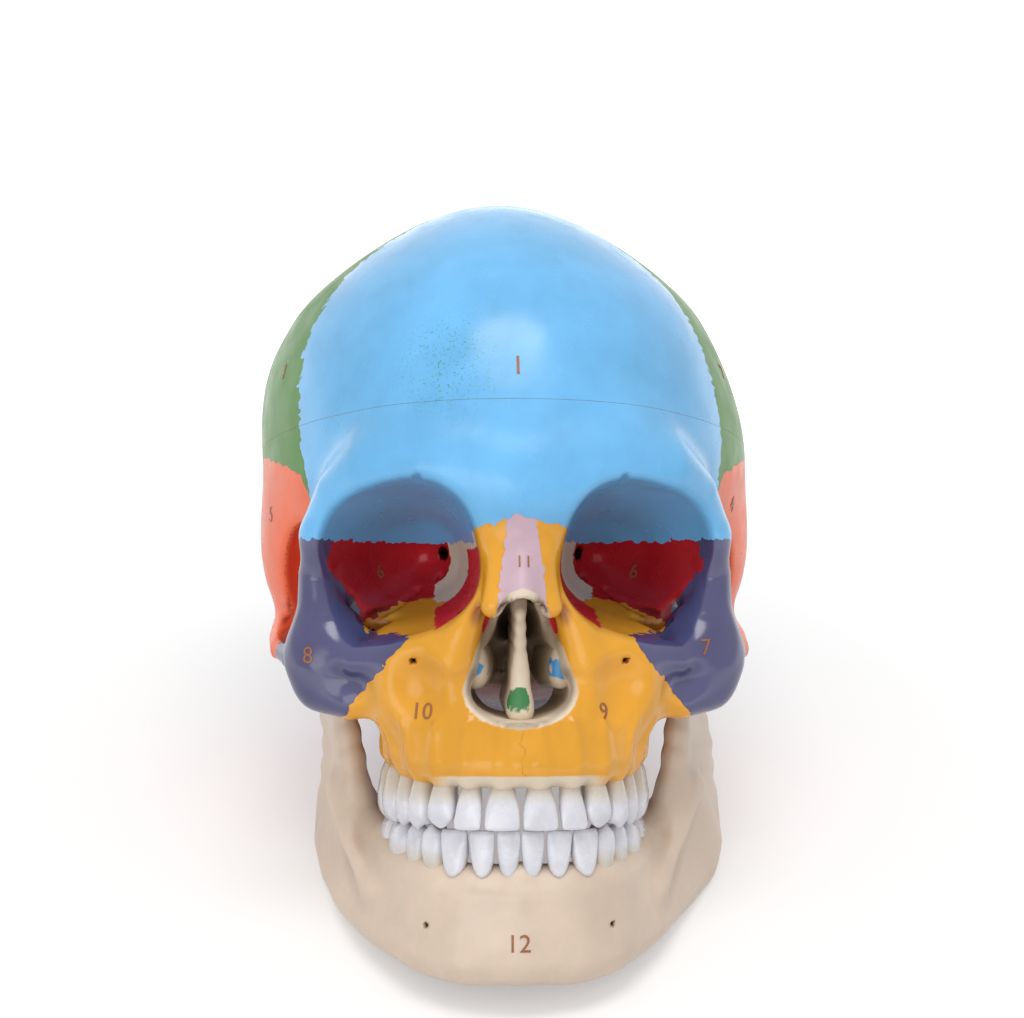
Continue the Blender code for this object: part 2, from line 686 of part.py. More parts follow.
def tooth(place, run, number, width, depth, crown, up, lean_share, grow=0.0):
    """A crown on a tapering root. up is 1 for a root that points up and -1 for one that
    points down."""
    out = Vector((run.y, -run.x, 0))
    edge_share = bite_edge_shares[number]
    taper = inner_taper_shares[number]
    rows = ((-grow, 0.90, edge_share), (crown * 0.42, 1.0, 0.92), (crown * 0.96, 0.66, 0.76),
            (crown + root_length + grow, 0.30, 0.30))
    shape = bmesh.new()
    rings = []
    for height, wide, deep in rows:
        ring = []
        base = place + out * lean_share * (crown - height) + Vector((0, 0, up * height))
        for side in range(tooth_sides):
            angle = math.tau * (side + 0.5) / tooth_sides
            squareness = 1.13
            u = max(-1, min(1, math.cos(angle) * squareness))
            v = max(-1, min(1, math.sin(angle) * squareness))
            across = u * (wide * width / 2 * (1 + taper * v) + grow)
            ring.append(shape.verts.new(base + run * across + out * v * (deep * depth / 2 + grow)))
        rings.append(ring)
    for lower, upper in zip(rings, rings[1:]):
        for side in range(tooth_sides):
            after = (side + 1) % tooth_sides
            shape.faces.new((lower[side], lower[after], upper[after], upper[side]))
    shape.faces.new(rings[0])
    shape.faces.new(rings[-1])
    bmesh.ops.recalc_face_normals(shape, faces=shape.faces)
    return mesh_from(shape)


def tooth_row(rows, widths, depths, crown, up, leans, grow=0.0):
    """The left teeth of one jaw, from the middle to the back."""
    edge = bite_height if up > 0 else bite_height - bite_gap
    teeth = []
    for number, (place, run) in enumerate(arch_places(rows, widths)):
        place = place + Vector((0, 0, edge))
        teeth.append(tooth(place, run, number, widths[number], depths[number], crown, up,
                           leans[number], grow))
    return teeth


def upper_teeth(grow=0.0):
    rows = [row[:2] for row in upper_ridge_shares[0]]
    return tooth_row(rows, upper_tooth_widths, upper_tooth_depths, upper_crown_height, 1,
                     upper_lean_shares, grow)


def lower_teeth(grow=0.0):
    return tooth_row(lower_ridge_shares, lower_tooth_widths, lower_tooth_depths,
                     lower_crown_height, -1, lower_lean_shares, grow)


pieces = {}


def keep(name, mesh, paint, body):
    """Note a finished mesh, its paint and the body that carries it."""
    pieces[name] = (mesh, paint, body)


def keep_pair(name, mesh, paint, body):
    """Note a mesh and its copy on the other side."""
    keep(name + "_left", mesh, paint, body)
    keep(name + "_right", mirrored(mesh), paint, body)


def part_bones(half_shell, body, names, prefix):
    """Cut one half shell into its bones."""
    left = half_shell
    for row in bone_blocks:
        name = row[0]
        if name not in names:
            continue
        tool = block(row)
        if name not in middle_bones:
            tool = solid(tool, left_block(gap / 2), "INTERSECT")
        bone = largest(solid(left, tool, "INTERSECT"))
        left = solid(left, block(row, gap), "DIFFERENCE")
        if name in middle_bones:
            keep(prefix + name, simplified(closed_over_middle(bone)), name, body)
        else:
            keep_pair(prefix + name, simplified(bone), name, body)


def seam_normal():
    """The way the cap lifts, square to its seam."""
    return Vector((0, -seam_slope_share, 1)).normalized()


def pin_middles(shell):
    """Where the cap's pins cross the seam, in the middle of the wall."""
    tree = BVHTree.FromPolygons([vert.co for vert in shell.vertices],
                                [face.vertices for face in shell.polygons])
    middles = []
    for x_share, y_share in pin_direction_shares:
        way = Vector((x_share, y_share, seam_slope_share * y_share)).normalized()
        centre = Vector((gap, 0, seam_height(0)))
        inner = tree.ray_cast(centre, way)[0]
        outer = tree.ray_cast(centre + way * far, -way)[0]
        middle = (inner + outer) / 2
        if x_share == 0:
            middle.x = 0
        middles.append(middle)
    return middles


def pin_mesh(middle, grow=0.0):
    """A dowel that stands in the base and enters the cap, or the room for one."""
    reach = seam_normal() * (pin_length / 2 + grow)
    return mesh_of(rod, middle - reach, middle + reach, pin_diameter / 2 + grow)


def surface_from_left(mesh, place):
    """Where a line from the skull's left first meets a mesh."""
    tree = BVHTree.FromPolygons([vert.co for vert in mesh.vertices],
                                [face.vertices for face in mesh.polygons])
    return tree.ray_cast(place, Vector((-1, 0, 0)))[0]


def screw_mesh(seat, grow=0.0):
    """A screw that runs inwards from the line of the spring hooks into the bone at its seat."""
    hook_x = jaw_head_spread / 2 + hook_stand_off
    start = Vector((seat.x - screw_shank_in_bone - grow, seat.y, seat.z))
    neck = Vector((hook_x + spring_wire / 2 + hook_clearance, seat.y, seat.z))
    shank = mesh_of(rod, start, neck, screw_shank_diameter / 2 + grow)
    if grow:
        return shank
    top = neck + Vector((screw_head_height, 0, 0))
    head = mesh_of(rod, neck - Vector((screw_head_height / 4, 0, 0)), top,
                   screw_head_diameter / 2)
    return solid(shank, head, "UNION")


def hook_ring(centre, way, turn):
    """The open ring of a spring's end round its screw, seen along X."""
    radius = screw_shank_diameter / 2 + spring_wire / 2 + hook_clearance
    across = Vector((1, 0, 0)).cross(way).normalized() * turn
    points = []
    steps = 10
    for step in range(steps + 1):
        angle = math.radians(62 + (330 - 62) * step / steps)
        points.append(centre + (way * math.cos(angle) + across * math.sin(angle)) * radius)
    points.append(centre + way * (radius + spring_wire))
    return points


def spring_points(upper, lower):
    """One unbroken wire: a hook ring, a coil and a hook ring."""
    way = (lower - upper).normalized()
    radius = screw_shank_diameter / 2 + spring_wire / 2 + hook_clearance
    reach = radius + spring_hook_reach
    start, end = upper + way * reach, lower - way * reach
    side = way.orthogonal().normalized()
    other = way.cross(side)
    coil = (spring_diameter - spring_wire) / 2
    per_curl = 8
    count = spring_curls * per_curl
    lead = per_curl // 2
    points = hook_ring(upper, way, 1)
    for step in range(count + 1):
        angle = math.tau * step / per_curl
        size = coil * min(1.0, (step + 1) / lead, (count - step + 1) / lead)
        around = side * math.cos(angle) + other * math.sin(angle)
        points.append(start.lerp(end, step / count) + around * size)
    points.extend(reversed(hook_ring(lower, -way, 1)))
    return points


def least_gap(points):
    """The least clear space between stretches of a wire that aren't neighbours."""
    skip = 5
    return min((points[a] - points[b]).length - spring_wire
               for a in range(len(points)) for b in range(a + skip, len(points)))


def build_cranium():
    """Every bone of the base and the cap, with what is set into them."""
    shell = cranium_half()
    outline = [(y * half.y, z * half.z) for y, z in septum_outline_shares]
    side = septum_thickness / 2
    shell = solid(shell, prism("side", outline, -side, side, gap), "DIFFERENCE")
    keep("septum", prism("side", outline, -side, side), "septum", "cranium")
    outline = [(x * half.x, z * half.z) for x, z in concha_outline_shares]
    ends = (concha_front_share * half.y, concha_back_share * half.y)
    shell = solid(shell, prism("front", outline, *ends, gap), "DIFFERENCE")
    keep_pair("concha", prism("front", outline, *ends), "concha", "cranium")
    for room in upper_teeth(tooth_gap):
        shell = solid(shell, room, "DIFFERENCE")
    for number, mesh in enumerate(upper_teeth()):
        keep_pair(f"tooth_upper_{number + 1}", mesh, "tooth", "cranium")
    seat = surface_from_left(shell, spot(upper_screw_share))
    shell = solid(shell, screw_mesh(seat, screw_clearance), "DIFFERENCE")
    keep_pair("spring_screw_upper", screw_mesh(seat), "steel", "cranium")
    for number, middle in enumerate(pin_middles(shell)):
        shell = solid(shell, pin_mesh(middle, pin_clearance), "DIFFERENCE")
        if middle.x == 0:
            keep("cap_pin_front", pin_mesh(middle), "steel", "cranium")
        else:
            keep_pair("cap_pin", pin_mesh(middle), "steel", "cranium")
    seam = [(-far, seam_height(-far)), (far, seam_height(far)), (far, far), (-far, far)]
    cap = solid(shell, prism("side", seam, -far, far), "INTERSECT")
    base = solid(shell, prism("side", seam, -far, far, gap), "DIFFERENCE")
    part_bones(cap, "cap", cap_bones, "cap_")
    part_bones(base, "cranium", [row[0] for row in bone_blocks], "")
    return seat


def build_jaw():
    """The jaw with its teeth and spring screws."""
    jaw = fused(both_sides(mesh_of(jaw_forms)), grain * 0.7, 9, jaw_faces)
    notch = mesh_of(ball, spot(jaw_notch_shares[0]), spot(jaw_notch_shares[1]))
    jaw = solid(jaw, notch, "DIFFERENCE")
    jaw = solid(jaw, left_block(0), "INTERSECT")
    for room in lower_teeth(tooth_gap):
        jaw = solid(jaw, room, "DIFFERENCE")
    seat = surface_from_left(jaw, spot(lower_screw_share))
    jaw = solid(jaw, screw_mesh(seat, screw_clearance), "DIFFERENCE")
    jaw = simplified(closed_over_middle(largest(jaw)))
    keep("jaw", leaned(jaw), "jaw", "jaw")
    lean = lean_jaw(seat) - seat
    for side, mesh in (("left", screw_mesh(seat)), ("right", mirrored(screw_mesh(seat)))):
        mesh.transform(Matrix.Translation(lean))
        keep("spring_screw_lower_" + side, mesh, "steel", "jaw")
    for number, mesh in enumerate(lower_teeth()):
        keep(f"tooth_lower_{number + 1}_right", leaned(mirrored(mesh)), "tooth", "jaw")
        keep(f"tooth_lower_{number + 1}_left", leaned(mesh), "tooth", "jaw")
    return seat, lean


def lean_back():
    """The angle at which the jaw and the back of the head stand on one floor."""
    angle = 0.0
    for step in range(12):
        turn = Matrix.Rotation(-angle, 3, "X")
        low_jaw = min((turn @ vert.co for vert in pieces["jaw"][0].vertices), key=lambda c: c.z)
        low_back = min((turn @ vert.co for vert in pieces["occipital"][0].vertices),
                       key=lambda c: c.z)
        run = low_back - low_jaw
        angle += math.atan2(run.z, run.y)
    return angle


def stand_up():
    """Lean every piece back, set it on the floor and cut the standing flats."""
    turn = Matrix.Rotation(-lean_back(), 4, "X")
    for mesh, paint, body in pieces.values():
        mesh.transform(turn)
    corners = [vert.co for mesh, paint, body in pieces.values() for vert in mesh.vertices]
    floor = min(corner.z for corner in corners) + flat_depth
    middle_x = (min(corner.x for corner in corners) + max(corner.x for corner in corners)) / 2
    middle_y = (min(corner.y for corner in corners) + max(corner.y for corner in corners)) / 2
    lift = Matrix.Translation((-middle_x, -middle_y, -floor))
    under = prism("side", ((-far * 2, -far), (far * 2, -far), (far * 2, 0), (-far * 2, 0)),
                  -far, far)
    for name, (mesh, paint, body) in pieces.items():
        mesh.transform(lift)
        if min(vert.co.z for vert in mesh.vertices) < 0:
            pieces[name] = (solid(mesh, under, "DIFFERENCE"), paint, body)
    return lift @ turn


def finish_for(name, paint):
    """A painted or bright metal finish."""
    finish = bpy.data.materials.new(name)
    finish.use_nodes = True
    shader = finish.node_tree.nodes["Principled BSDF"]
    shader.inputs["Base Color"].default_value = (*paints[paint], 1.0)
    shader.inputs["Roughness"].default_value = 0.30
    shader.inputs["Metallic"].default_value = 1.0 if paint == "steel" else 0.0
    return finish


def carrier(name, place):
    """An empty that carries one moving body from its joint."""
    item = bpy.data.objects.new(name, None)
    item.location = place
    bpy.context.scene.collection.objects.link(item)
    return item


def place_pieces(standing):
    """Make the named objects, hung from an empty on their joint where they move."""
    jaw_line = standing @ Vector((0, jaw_axis_back, jaw_axis_height))
    seam_middle = standing @ Vector((0, 0, seam_height(0)))
    carriers = {"cranium": carrier("cranium_body", Vector((0, 0, 0))),
                "jaw": carrier("jaw_body", jaw_line), "cap": carrier("cap_body", seam_middle)}
    for name, (mesh, paint, body) in pieces.items():
        mesh.transform(Matrix.Translation(-carriers[body].location))
        mesh.materials.clear()
        mesh.materials.append(finish_for(name, paint))
        item = bpy.data.objects.new(name, mesh)
        item.parent = carriers[body]
        bpy.context.scene.collection.objects.link(item)


def place_springs(standing, upper_seat, lower_seat, lean):
    """Two coil springs, each a bevelled curve between its screws."""
    for side, name in ((1, "left"), (-1, "right")):
        hook_x = side * (jaw_head_spread / 2 + hook_stand_off)
        upper = Vector((hook_x, upper_seat.y, upper_seat.z))
        lower = Vector((hook_x, lower_seat.y, lower_seat.z)) + lean
        points = spring_points(upper, lower)
        print("spring", name, "least gap to itself in mm:", round(least_gap(points) * 1000, 2))
        curve = bpy.data.curves.new("spring_" + name, "CURVE")
        curve.dimensions = "3D"
        curve.bevel_depth = spring_wire / 2
        curve.bevel_resolution = 1
        curve.use_fill_caps = True
        spline = curve.splines.new("POLY")
        spline.points.add(len(points) - 1)
        for point, place in zip(spline.points, points):
            point.co = (*(standing @ place), 1)
        curve.materials.append(finish_for("spring_" + name, "steel"))
        item = bpy.data.objects.new("spring_" + name, curve)
        bpy.context.scene.collection.objects.link(item)


def clear_scene():
    """Start from an empty scene."""
    for item in list(bpy.data.objects):
        bpy.data.objects.remove(item)


clear_scene()
upper_screw_seat = build_cranium()
lower_screw_seat, screw_lean = build_jaw()
standing = stand_up()
place_pieces(standing)
place_springs(standing, upper_screw_seat, lower_screw_seat, screw_lean)
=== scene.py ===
"""The looks of the painted teaching skull: bones, teeth, springs and a plain studio.

The bones are modelled in the skull's own frame, in millimetres: the origin is midway between the
ear holes, +X runs to the skull's left, +Y to the back and +Z up. `placed` brings that frame to
the part's. The skin of each casting comes from a field that is negative inside the bone, and is
then cut along the sutures into one piece per bone.
"""

import json
import math
from functools import cached_property

import bmesh
import bpy
import numpy as np
from mathutils import Matrix, Vector
from mathutils.bvhtree import BVHTree

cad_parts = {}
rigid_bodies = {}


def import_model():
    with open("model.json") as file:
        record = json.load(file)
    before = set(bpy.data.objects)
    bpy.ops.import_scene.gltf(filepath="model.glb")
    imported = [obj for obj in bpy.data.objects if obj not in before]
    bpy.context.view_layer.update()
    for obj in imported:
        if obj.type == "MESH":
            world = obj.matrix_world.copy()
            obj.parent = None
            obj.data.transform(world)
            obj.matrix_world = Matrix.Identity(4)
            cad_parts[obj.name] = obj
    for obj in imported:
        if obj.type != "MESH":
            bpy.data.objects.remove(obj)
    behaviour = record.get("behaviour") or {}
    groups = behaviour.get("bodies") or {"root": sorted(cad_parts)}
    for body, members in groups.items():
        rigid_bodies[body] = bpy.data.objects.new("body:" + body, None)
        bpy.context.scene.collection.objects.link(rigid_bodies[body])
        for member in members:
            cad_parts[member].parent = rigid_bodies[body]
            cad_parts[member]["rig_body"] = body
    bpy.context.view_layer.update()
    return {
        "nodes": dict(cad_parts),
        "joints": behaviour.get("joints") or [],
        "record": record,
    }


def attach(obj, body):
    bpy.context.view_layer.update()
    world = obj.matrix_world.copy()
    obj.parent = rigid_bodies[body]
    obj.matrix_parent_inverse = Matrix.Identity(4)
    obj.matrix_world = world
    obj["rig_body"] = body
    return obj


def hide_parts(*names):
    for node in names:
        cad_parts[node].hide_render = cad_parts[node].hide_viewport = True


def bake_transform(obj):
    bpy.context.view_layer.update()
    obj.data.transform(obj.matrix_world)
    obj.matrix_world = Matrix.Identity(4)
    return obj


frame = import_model()

# Driving sizes of the bones, in millimetres, as in the part
skull_breadth = 144
skull_length = 182
skull_height = 216
wall = 4.8
orbit_breadth = 44.5
orbit_height = 39.0
seam_front_height = 57
seam_slope_share = -0.115
seam_gap = 0.09
jaw_axis_height = -4.0
jaw_axis_back = -13.0
jaw_lean = 3.5
bite_height = -53.7
bite_gap = 0.3
upper_crown_height = 10.6
lower_crown_height = 11.2

half = np.array([skull_breadth, skull_length, skull_height]) / 2

# Grid steps of the skins, how softly forms meet, and how much thinner each field is made
shell_step, jaw_step, fine_step = 1.1, 0.8, 0.5
soft = 4.0
skin_trim, jaw_trim = 0.5, 0.3

# The roof's lean and its narrowing: from and to which height, and how much
skew_start, skew_end, skew_reach = 38, 80, 2.2
gable_start, gable_end, gable_share = 84, 124, 0.18

# The camera, fitted to the photograph: pixels, and millimetres from the skull's origin
picture_width, picture_height = 1024, 1018
focal_pixels = 2501
centre_x, centre_y = 504.4, 613.0
camera_distance = 733
camera_turn_degrees = (0.02, 1.39, 2.72)
sensor_width = 36.0

# Forms of the bones in shares of half the breadth, length and height. A ball has a centre and
# three radii. A limb is a line of balls, each with its centre and a radius share of the breadth.
vault_shares = (
    ((0, 0.06, 0.42), (0.993, 0.93, 0.68)),
    ((0, -0.15, 0.435), (0.89, 0.80, 0.625)),
    ((0, -0.33, 0.43), (0.78, 0.69, 0.575)),
    ((0.36, 0.31, 0.52), (0.61, 0.505, 0.42)),
    ((0, 0.505, 0.26), (0.72, 0.495, 0.39)),
    ((0, 0.42, -0.02), (0.67, 0.505, 0.315)),
    ((0.28, 0.52, -0.155), (0.36, 0.32, 0.245)),
    ((0.50, 0.02, 0.167), (0.493, 0.505, 0.333)),
    ((0, -0.20, 0.074), (0.47, 0.44, 0.24)),
)
face_ball_shares = (
    ((0, -0.80, 0.34), (0.56, 0.215, 0.22)),
    ((0, -0.66, 0.11), (0.36, 0.29, 0.22)),
    ((0.28, -0.68, 0.20), (0.42, 0.24, 0.15)),
    ((0.54, -0.44, 0.07), (0.19, 0.20, 0.24)),
    ((0.69, -0.68, -0.09), (0.17, 0.10, 0.13)),
    ((0.30, -0.75, -0.14), (0.27, 0.22, 0.20)),
    ((0, -0.81, -0.28), (0.33, 0.18, 0.13)),
    ((0.72, 0.15, -0.09), (0.16, 0.165, 0.185)),
    ((0.69, 0.00, -0.04), (0.19, 0.13, 0.09)),
    ((0.24, 0.15, -0.22), (0.09, 0.13, 0.065)),
)
face_limb_shares = (
    ((0, -0.95, 0.32, 0.09), (0.17, -0.952, 0.345, 0.10), (0.33, -0.925, 0.365, 0.10),
     (0.53, -0.86, 0.35, 0.097), (0.65, -0.77, 0.30, 0.090), (0.72, -0.71, 0.21, 0.078)),
    ((0.71, -0.72, 0.20, 0.075), (0.735, -0.68, 0.11, 0.078), (0.72, -0.68, 0, 0.10),
     (0.71, -0.68, -0.11, 0.125)),
    ((0.70, -0.71, -0.06, 0.074), (0.59, -0.79, -0.095, 0.066), (0.46, -0.85, -0.090, 0.058),
     (0.33, -0.88, -0.045, 0.056), (0.235, -0.90, 0.005, 0.052)),
    ((0.72, -0.68, -0.17, 0.094), (0.61, -0.73, -0.195, 0.086), (0.47, -0.75, -0.175, 0.090)),
    ((0.74, -0.64, -0.09, 0.11), (0.805, -0.53, -0.10, 0.080), (0.868, -0.40, -0.085, 0.066),
     (0.884, -0.26, -0.06, 0.062), (0.87, -0.13, -0.03, 0.068), (0.83, -0.02, 0.01, 0.085),
     (0.81, 0.09, 0.055, 0.085)),
    ((0.24, -0.92, -0.09, 0.083), (0.19, -0.93, 0.02, 0.070), (0.15, -0.93, 0.13, 0.070),
     (0.125, -0.93, 0.24, 0.070)),
    ((0, -0.945, 0.26, 0.083), (0, -0.99, 0.17, 0.076), (0, -1.05, 0.075, 0.066),
     (0, -1.085, 0.03, 0.055)),
    ((0.055, -0.945, 0.24, 0.083), (0.07, -0.99, 0.13, 0.070), (0.10, -1.02, 0.04, 0.055)),
    ((0.42, -0.33, 0, 0.19), (0.56, -0.53, 0.09, 0.14), (0.64, -0.63, 0.10, 0.07)),
    ((0, -0.29, -0.02, 0.18), (0, -0.11, -0.09, 0.15), (0, 0.02, -0.15, 0.125)),
    ((0.20, -0.42, -0.03, 0.10), (0.24, -0.46, -0.15, 0.07), (0.25, -0.46, -0.26, 0.05)),
    ((0, 0.90, 0.12, 0.12), (0, 0.78, -0.06, 0.12), (0, 0.62, -0.20, 0.12)),
    ((0, -0.97, -0.24, 0.05), (0, -1.02, -0.225, 0.03)),
)
upper_ridge_shares = (
    ((0, -0.985, -0.337, 0.078), (0.17, -0.965, -0.337, 0.082), (0.305, -0.88, -0.332, 0.084),
     (0.385, -0.75, -0.324, 0.086), (0.405, -0.60, -0.316, 0.086), (0.40, -0.49, -0.31, 0.084)),
    ((0, -0.92, -0.22, 0.083), (0.17, -0.90, -0.20, 0.097), (0.31, -0.84, -0.20, 0.11),
     (0.35, -0.73, -0.20, 0.10), (0.36, -0.60, -0.20, 0.10), (0.35, -0.50, -0.19, 0.10)),
)
upper_arch_shares = ((0, -0.985), (0.17, -0.965), (0.31, -0.88), (0.40, -0.75), (0.44, -0.60),
                     (0.44, -0.49))
carve_ball_shares = (
    ((0, -0.86, -0.17), (0.18, 0.44, 0.068)),
    ((0, -0.86, -0.11), (0.142, 0.44, 0.085)),
    ((0, -0.88, -0.03), (0.082, 0.40, 0.085)),
    ((0, -0.66, -0.39), (0.29, 0.30, 0.13)),
    ((0.74, -0.37, -0.21), (0.17, 0.22, 0.24)),
    ((0.76, -0.38, 0.05), (0.125, 0.22, 0.20)),
    ((0.40, -0.99, -0.165), (0.125, 0.09, 0.10)),
)
carve_limb_shares = (
    ((0, -1.25, 0.02, 0.035), (0, -0.88, 0.045, 0.042), (0, -0.66, 0.12, 0.050)),
    ((0.97, 0.03, -0.03, 0.05), (0.63, 0, -0.04, 0.042)),
)
orbit_mouth_share = (0.452, -0.90, 0.142)
orbit_apex_share = (0.335, -0.37, 0.150)
orbit_taper_share = 0.28
spine_hole_shares = ((0, 0.30, -0.22), (0.215, 0.20, 0.30))

# The jaw in shares: the low and high edge of its body, the front and back edge of its branch
jaw_body_shares = (
    ((0, -0.925, -0.808, 0.09), (0.19, -0.91, -0.812, 0.092), (0.345, -0.83, -0.798, 0.085),
     (0.50, -0.66, -0.762, 0.078), (0.615, -0.46, -0.72, 0.072), (0.70, -0.28, -0.67, 0.07),
     (0.735, -0.17, -0.600, 0.07)),
    ((0, -0.945, -0.665, 0.076), (0.18, -0.925, -0.66, 0.076), (0.31, -0.84, -0.65, 0.083),
     (0.40, -0.69, -0.625, 0.09), (0.46, -0.53, -0.59, 0.097), (0.56, -0.42, -0.54, 0.083),
     (0.65, -0.33, -0.46, 0.07)),
)
jaw_branch_shares = (
    ((0.56, -0.47, -0.57, 0.07), (0.61, -0.47, -0.42, 0.062), (0.645, -0.475, -0.23, 0.055),
     (0.655, -0.475, -0.11, 0.042)),
    ((0.745, -0.13, -0.60, 0.07), (0.745, -0.10, -0.47, 0.058), (0.73, -0.12, -0.28, 0.054),
     (0.70, -0.145, -0.10, 0.052)),
)
jaw_notch_shares = ((0.69, -0.30, -0.055), (0.22, 0.105, 0.115))
chin_shares = ((0, -0.965, -0.775), (0.17, 0.055, 0.072))
lower_ridge_shares = ((0, -0.955), (0.18, -0.935), (0.31, -0.85), (0.40, -0.71), (0.46, -0.53),
                      (0.50, -0.40))

# Outlines of the blocks that part the bones. Each takes its share of what those before it left:
# a side block lists (y, z) rows and reaches from one x to another, a front block lists (x, z)
# rows, and a top block (x, y) rows.
bone_blocks = (
    ("frontal", (("side", ((-1.4, 0.19), (-0.60, 0.19), (-0.57, 0.26), (-0.535, 0.50),
                           (-0.42, 0.80), (-0.15, 1.09), (-0.10, 1.5), (-1.4, 1.5)), -0.1, 1.4),
                 ("front", ((-0.05, 0.252), (0.045, 0.250), (0.075, 0.232), (0.14, 0.232),
                            (0.17, 0.215), (0.20, 0.185), (0.60, 0.195), (1.4, 0.200),
                            (1.4, 1.5), (-0.05, 1.5)), -1.4, 1.4))),
    ("frontal", (("side", ((-0.80, 0.19), (-0.40, 0.19), (-0.40, 0.42), (-0.80, 0.42)),
                  0.12, 0.60),)),
    ("nasal", (("front", ((-0.05, 0.262), (0.052, 0.262), (0.060, 0.19), (0.080, 0.11),
                          (0.088, 0.03), (0.088, -0.06), (-0.05, -0.06)), -1.4, -0.86),)),
    ("zygomatic", (("front", ((0.40, -0.035), (0.655, -0.245), (0.66, -0.45), (1.3, -0.45),
                              (1.3, 0.24), (0.665, 0.24), (0.70, 0.13), (0.60, 0.04),
                              (0.555, -0.03)), -1.0, -0.30),
                   ("top", ((0.30, -1.10), (1.40, -1.10), (1.40, -0.47), (0.80, -0.47),
                            (0.80, -0.575), (0.30, -0.575)), -1.0, 1.0))),
    ("lacrimal", (("side", ((-0.93, -0.02), (-0.83, -0.045), (-0.66, 0.02), (-0.64, 0.170),
                            (-0.90, 0.180)), 0.10, 0.30),)),
    ("ethmoid", (("side", ((-0.84, 0.03), (-0.47, 0.05), (-0.47, 0.22), (-0.84, 0.22)),
                  -0.1, 0.30),)),
    ("maxilla", (("side", ((-1.4, -0.8), (-0.50, -0.8), (-0.50, 0.03), (-0.60, 0.07),
                           (-0.62, 0.30), (-1.4, 0.30)), -0.1, 0.74),
                 ("front", ((-0.05, -0.8), (0.80, -0.8), (0.80, -0.03), (0.56, -0.01),
                            (0.40, 0.05), (0.30, 0.11), (0.27, 0.30), (-0.05, 0.30)),
                  -1.4, 1.4))),
    ("sphenoid", (("side", ((-0.80, -0.60), (-0.22, -0.60), (-0.22, 0.02), (-0.34, 0.06),
                            (-0.34, 0.30), (-0.80, 0.30)), -0.1, 0.715),)),
    ("temporal", (("side", ((-0.60, -0.06), (-0.60, 0.24), (-0.52, 0.36), (-0.40, 0.39),
                            (-0.20, 0.41), (0.02, 0.42), (0.22, 0.35), (0.30, 0.15), (0.44, 0.02),
                            (0.36, -0.26), (0.10, -0.60), (-0.20, -0.30), (-0.20, -0.15),
                            (-0.55, -0.16)), 0.10, 1.4),
                  ("top", ((0.17, -0.7), (0.17, -0.21), (0.34, 0.02), (0.44, 0.50), (1.4, 0.50),
                           (1.4, -0.7)), -1.0, 1.0))),
    ("parietal", (("side", ((-0.66, 0.0), (0.36, 0.0), (0.62, 0.16), (0.965, 0.60), (1.2, 1.5),
                            (-0.7, 1.5)), -0.1, 1.4),)),
    ("occipital", (("side", ((-0.6, -0.8), (1.4, -0.8), (1.4, 1.5), (-0.6, 1.5)), -0.1, 1.4),)),
)

# Small forms in millimetres, as lines of balls with (x, y, z, radius) rows
hole_rows = (
    ((27, -97, 38.5, 0.75), (26.5, -82, 34, 0.9)),
    ((28.5, -92, -12.5, 0.55), (27, -79, -9, 0.8)),
    ((19, -40, 17.5, 1.7), (12, -20, 19, 2.0)),
    ((20, -41, 12, 1.9), (24, -43, 16, 2.4), (31, -49, 19.5, 1.5)),
    ((26, -42, 8, 1.4), (33, -52, 3.5, 2.0), (41, -62, -0.5, 1.7)),
    ((13.5, -80, 9, 1.5), (14.5, -77, -2, 1.9)),
    ((22, -20, -12, 2.4), (21, -22, -34, 2.6)),
    ((25, 6, -12, 3.0), (26, 5, -36, 3.4)),
    ((23, -5, -14, 2.3), (26, -7, -34, 2.5)),
    ((0, -79, -34, 1.3), (0, -83, -46, 1.6)),
    ((15, -50, -32, 1.2), (15, -52, -44, 1.4)),
)
inner_ridge_rows = (
    ((12, -10, -3, 3.5), (34, 4, 3, 4.5), (54, 16, 9, 3.0)),
    ((6, -34, 20, 2.0), (26, -38, 24, 2.5), (46, -42, 28, 2.0)),
    ((0, -16, 8, 4.0), (9, -16, 7, 3.0)),
    ((0, -84, 28, 1.5), (0, -87, 50, 2.0)),
    ((0, 86, 0, 3.0), (0, 78, -18, 3.0)),
)
relief_rows = (
    (((32, 4, -16, 2.6), (31, -1, -30, 1.9), (30, -6, -45, 0.9)), 2.0),
    (((0, 83.5, 2, 3.4), (0, 84.5, 0, 2.6)), 5.0),
    (((0, 84, 2, 1.3), (12, 82.3, 3, 1.2), (22, 78.6, 3, 1.2), (30, 73.5, 2, 1.2),
      (38, 65.5, 1, 1.2), (45, 53, -1, 1.0)), 5.0),
    (((0, -73, -44, 0.9), (0, -52, -38, 0.9)), 3.0),
)
jaw_relief_rows = (
    (((0, -86, -87.5, 4.2), (13, -83.5, -88.5, 3.4)), 4.0),
    (((50, -38, -47, 1.6), (45, -50, -61, 1.6), (39, -62, -72, 1.2)), 8.0),
    (((0, -72, -84, 2.0), (2, -71, -86, 1.4)), 3.0),
    (((0, -86, -66.5, 3.6), (13, -83.5, -66.5, 3.6), (22.3, -77, -66.5, 3.9),
      (28.8, -64.6, -66, 4.4), (33.1, -48.2, -65, 5.2), (36.0, -37.5, -63.5, 5.0)), 3.0),
)
jaw_hole_rows = (
    (((24.8, -86, -79.5, 0.6), (24, -82, -79, 0.5)), 1.0),
    (((43, -24, -44, 2.4), (50, -25, -48, 1.6)), 1.2),
)
jaw_head_side = 50.5
jaw_head_radii = (9.5, 4.6, 4.6)
jaw_room_radii = (10.6, 5.7, 5.7)

# Where the castings aren't painted: inside the nose, and above the front teeth
nose_rim, nose_fade = 2.7, 0.9
gum_height, gum_fade = -39.1, 1.1
gum_reach, gum_reach_fade = 27, 14

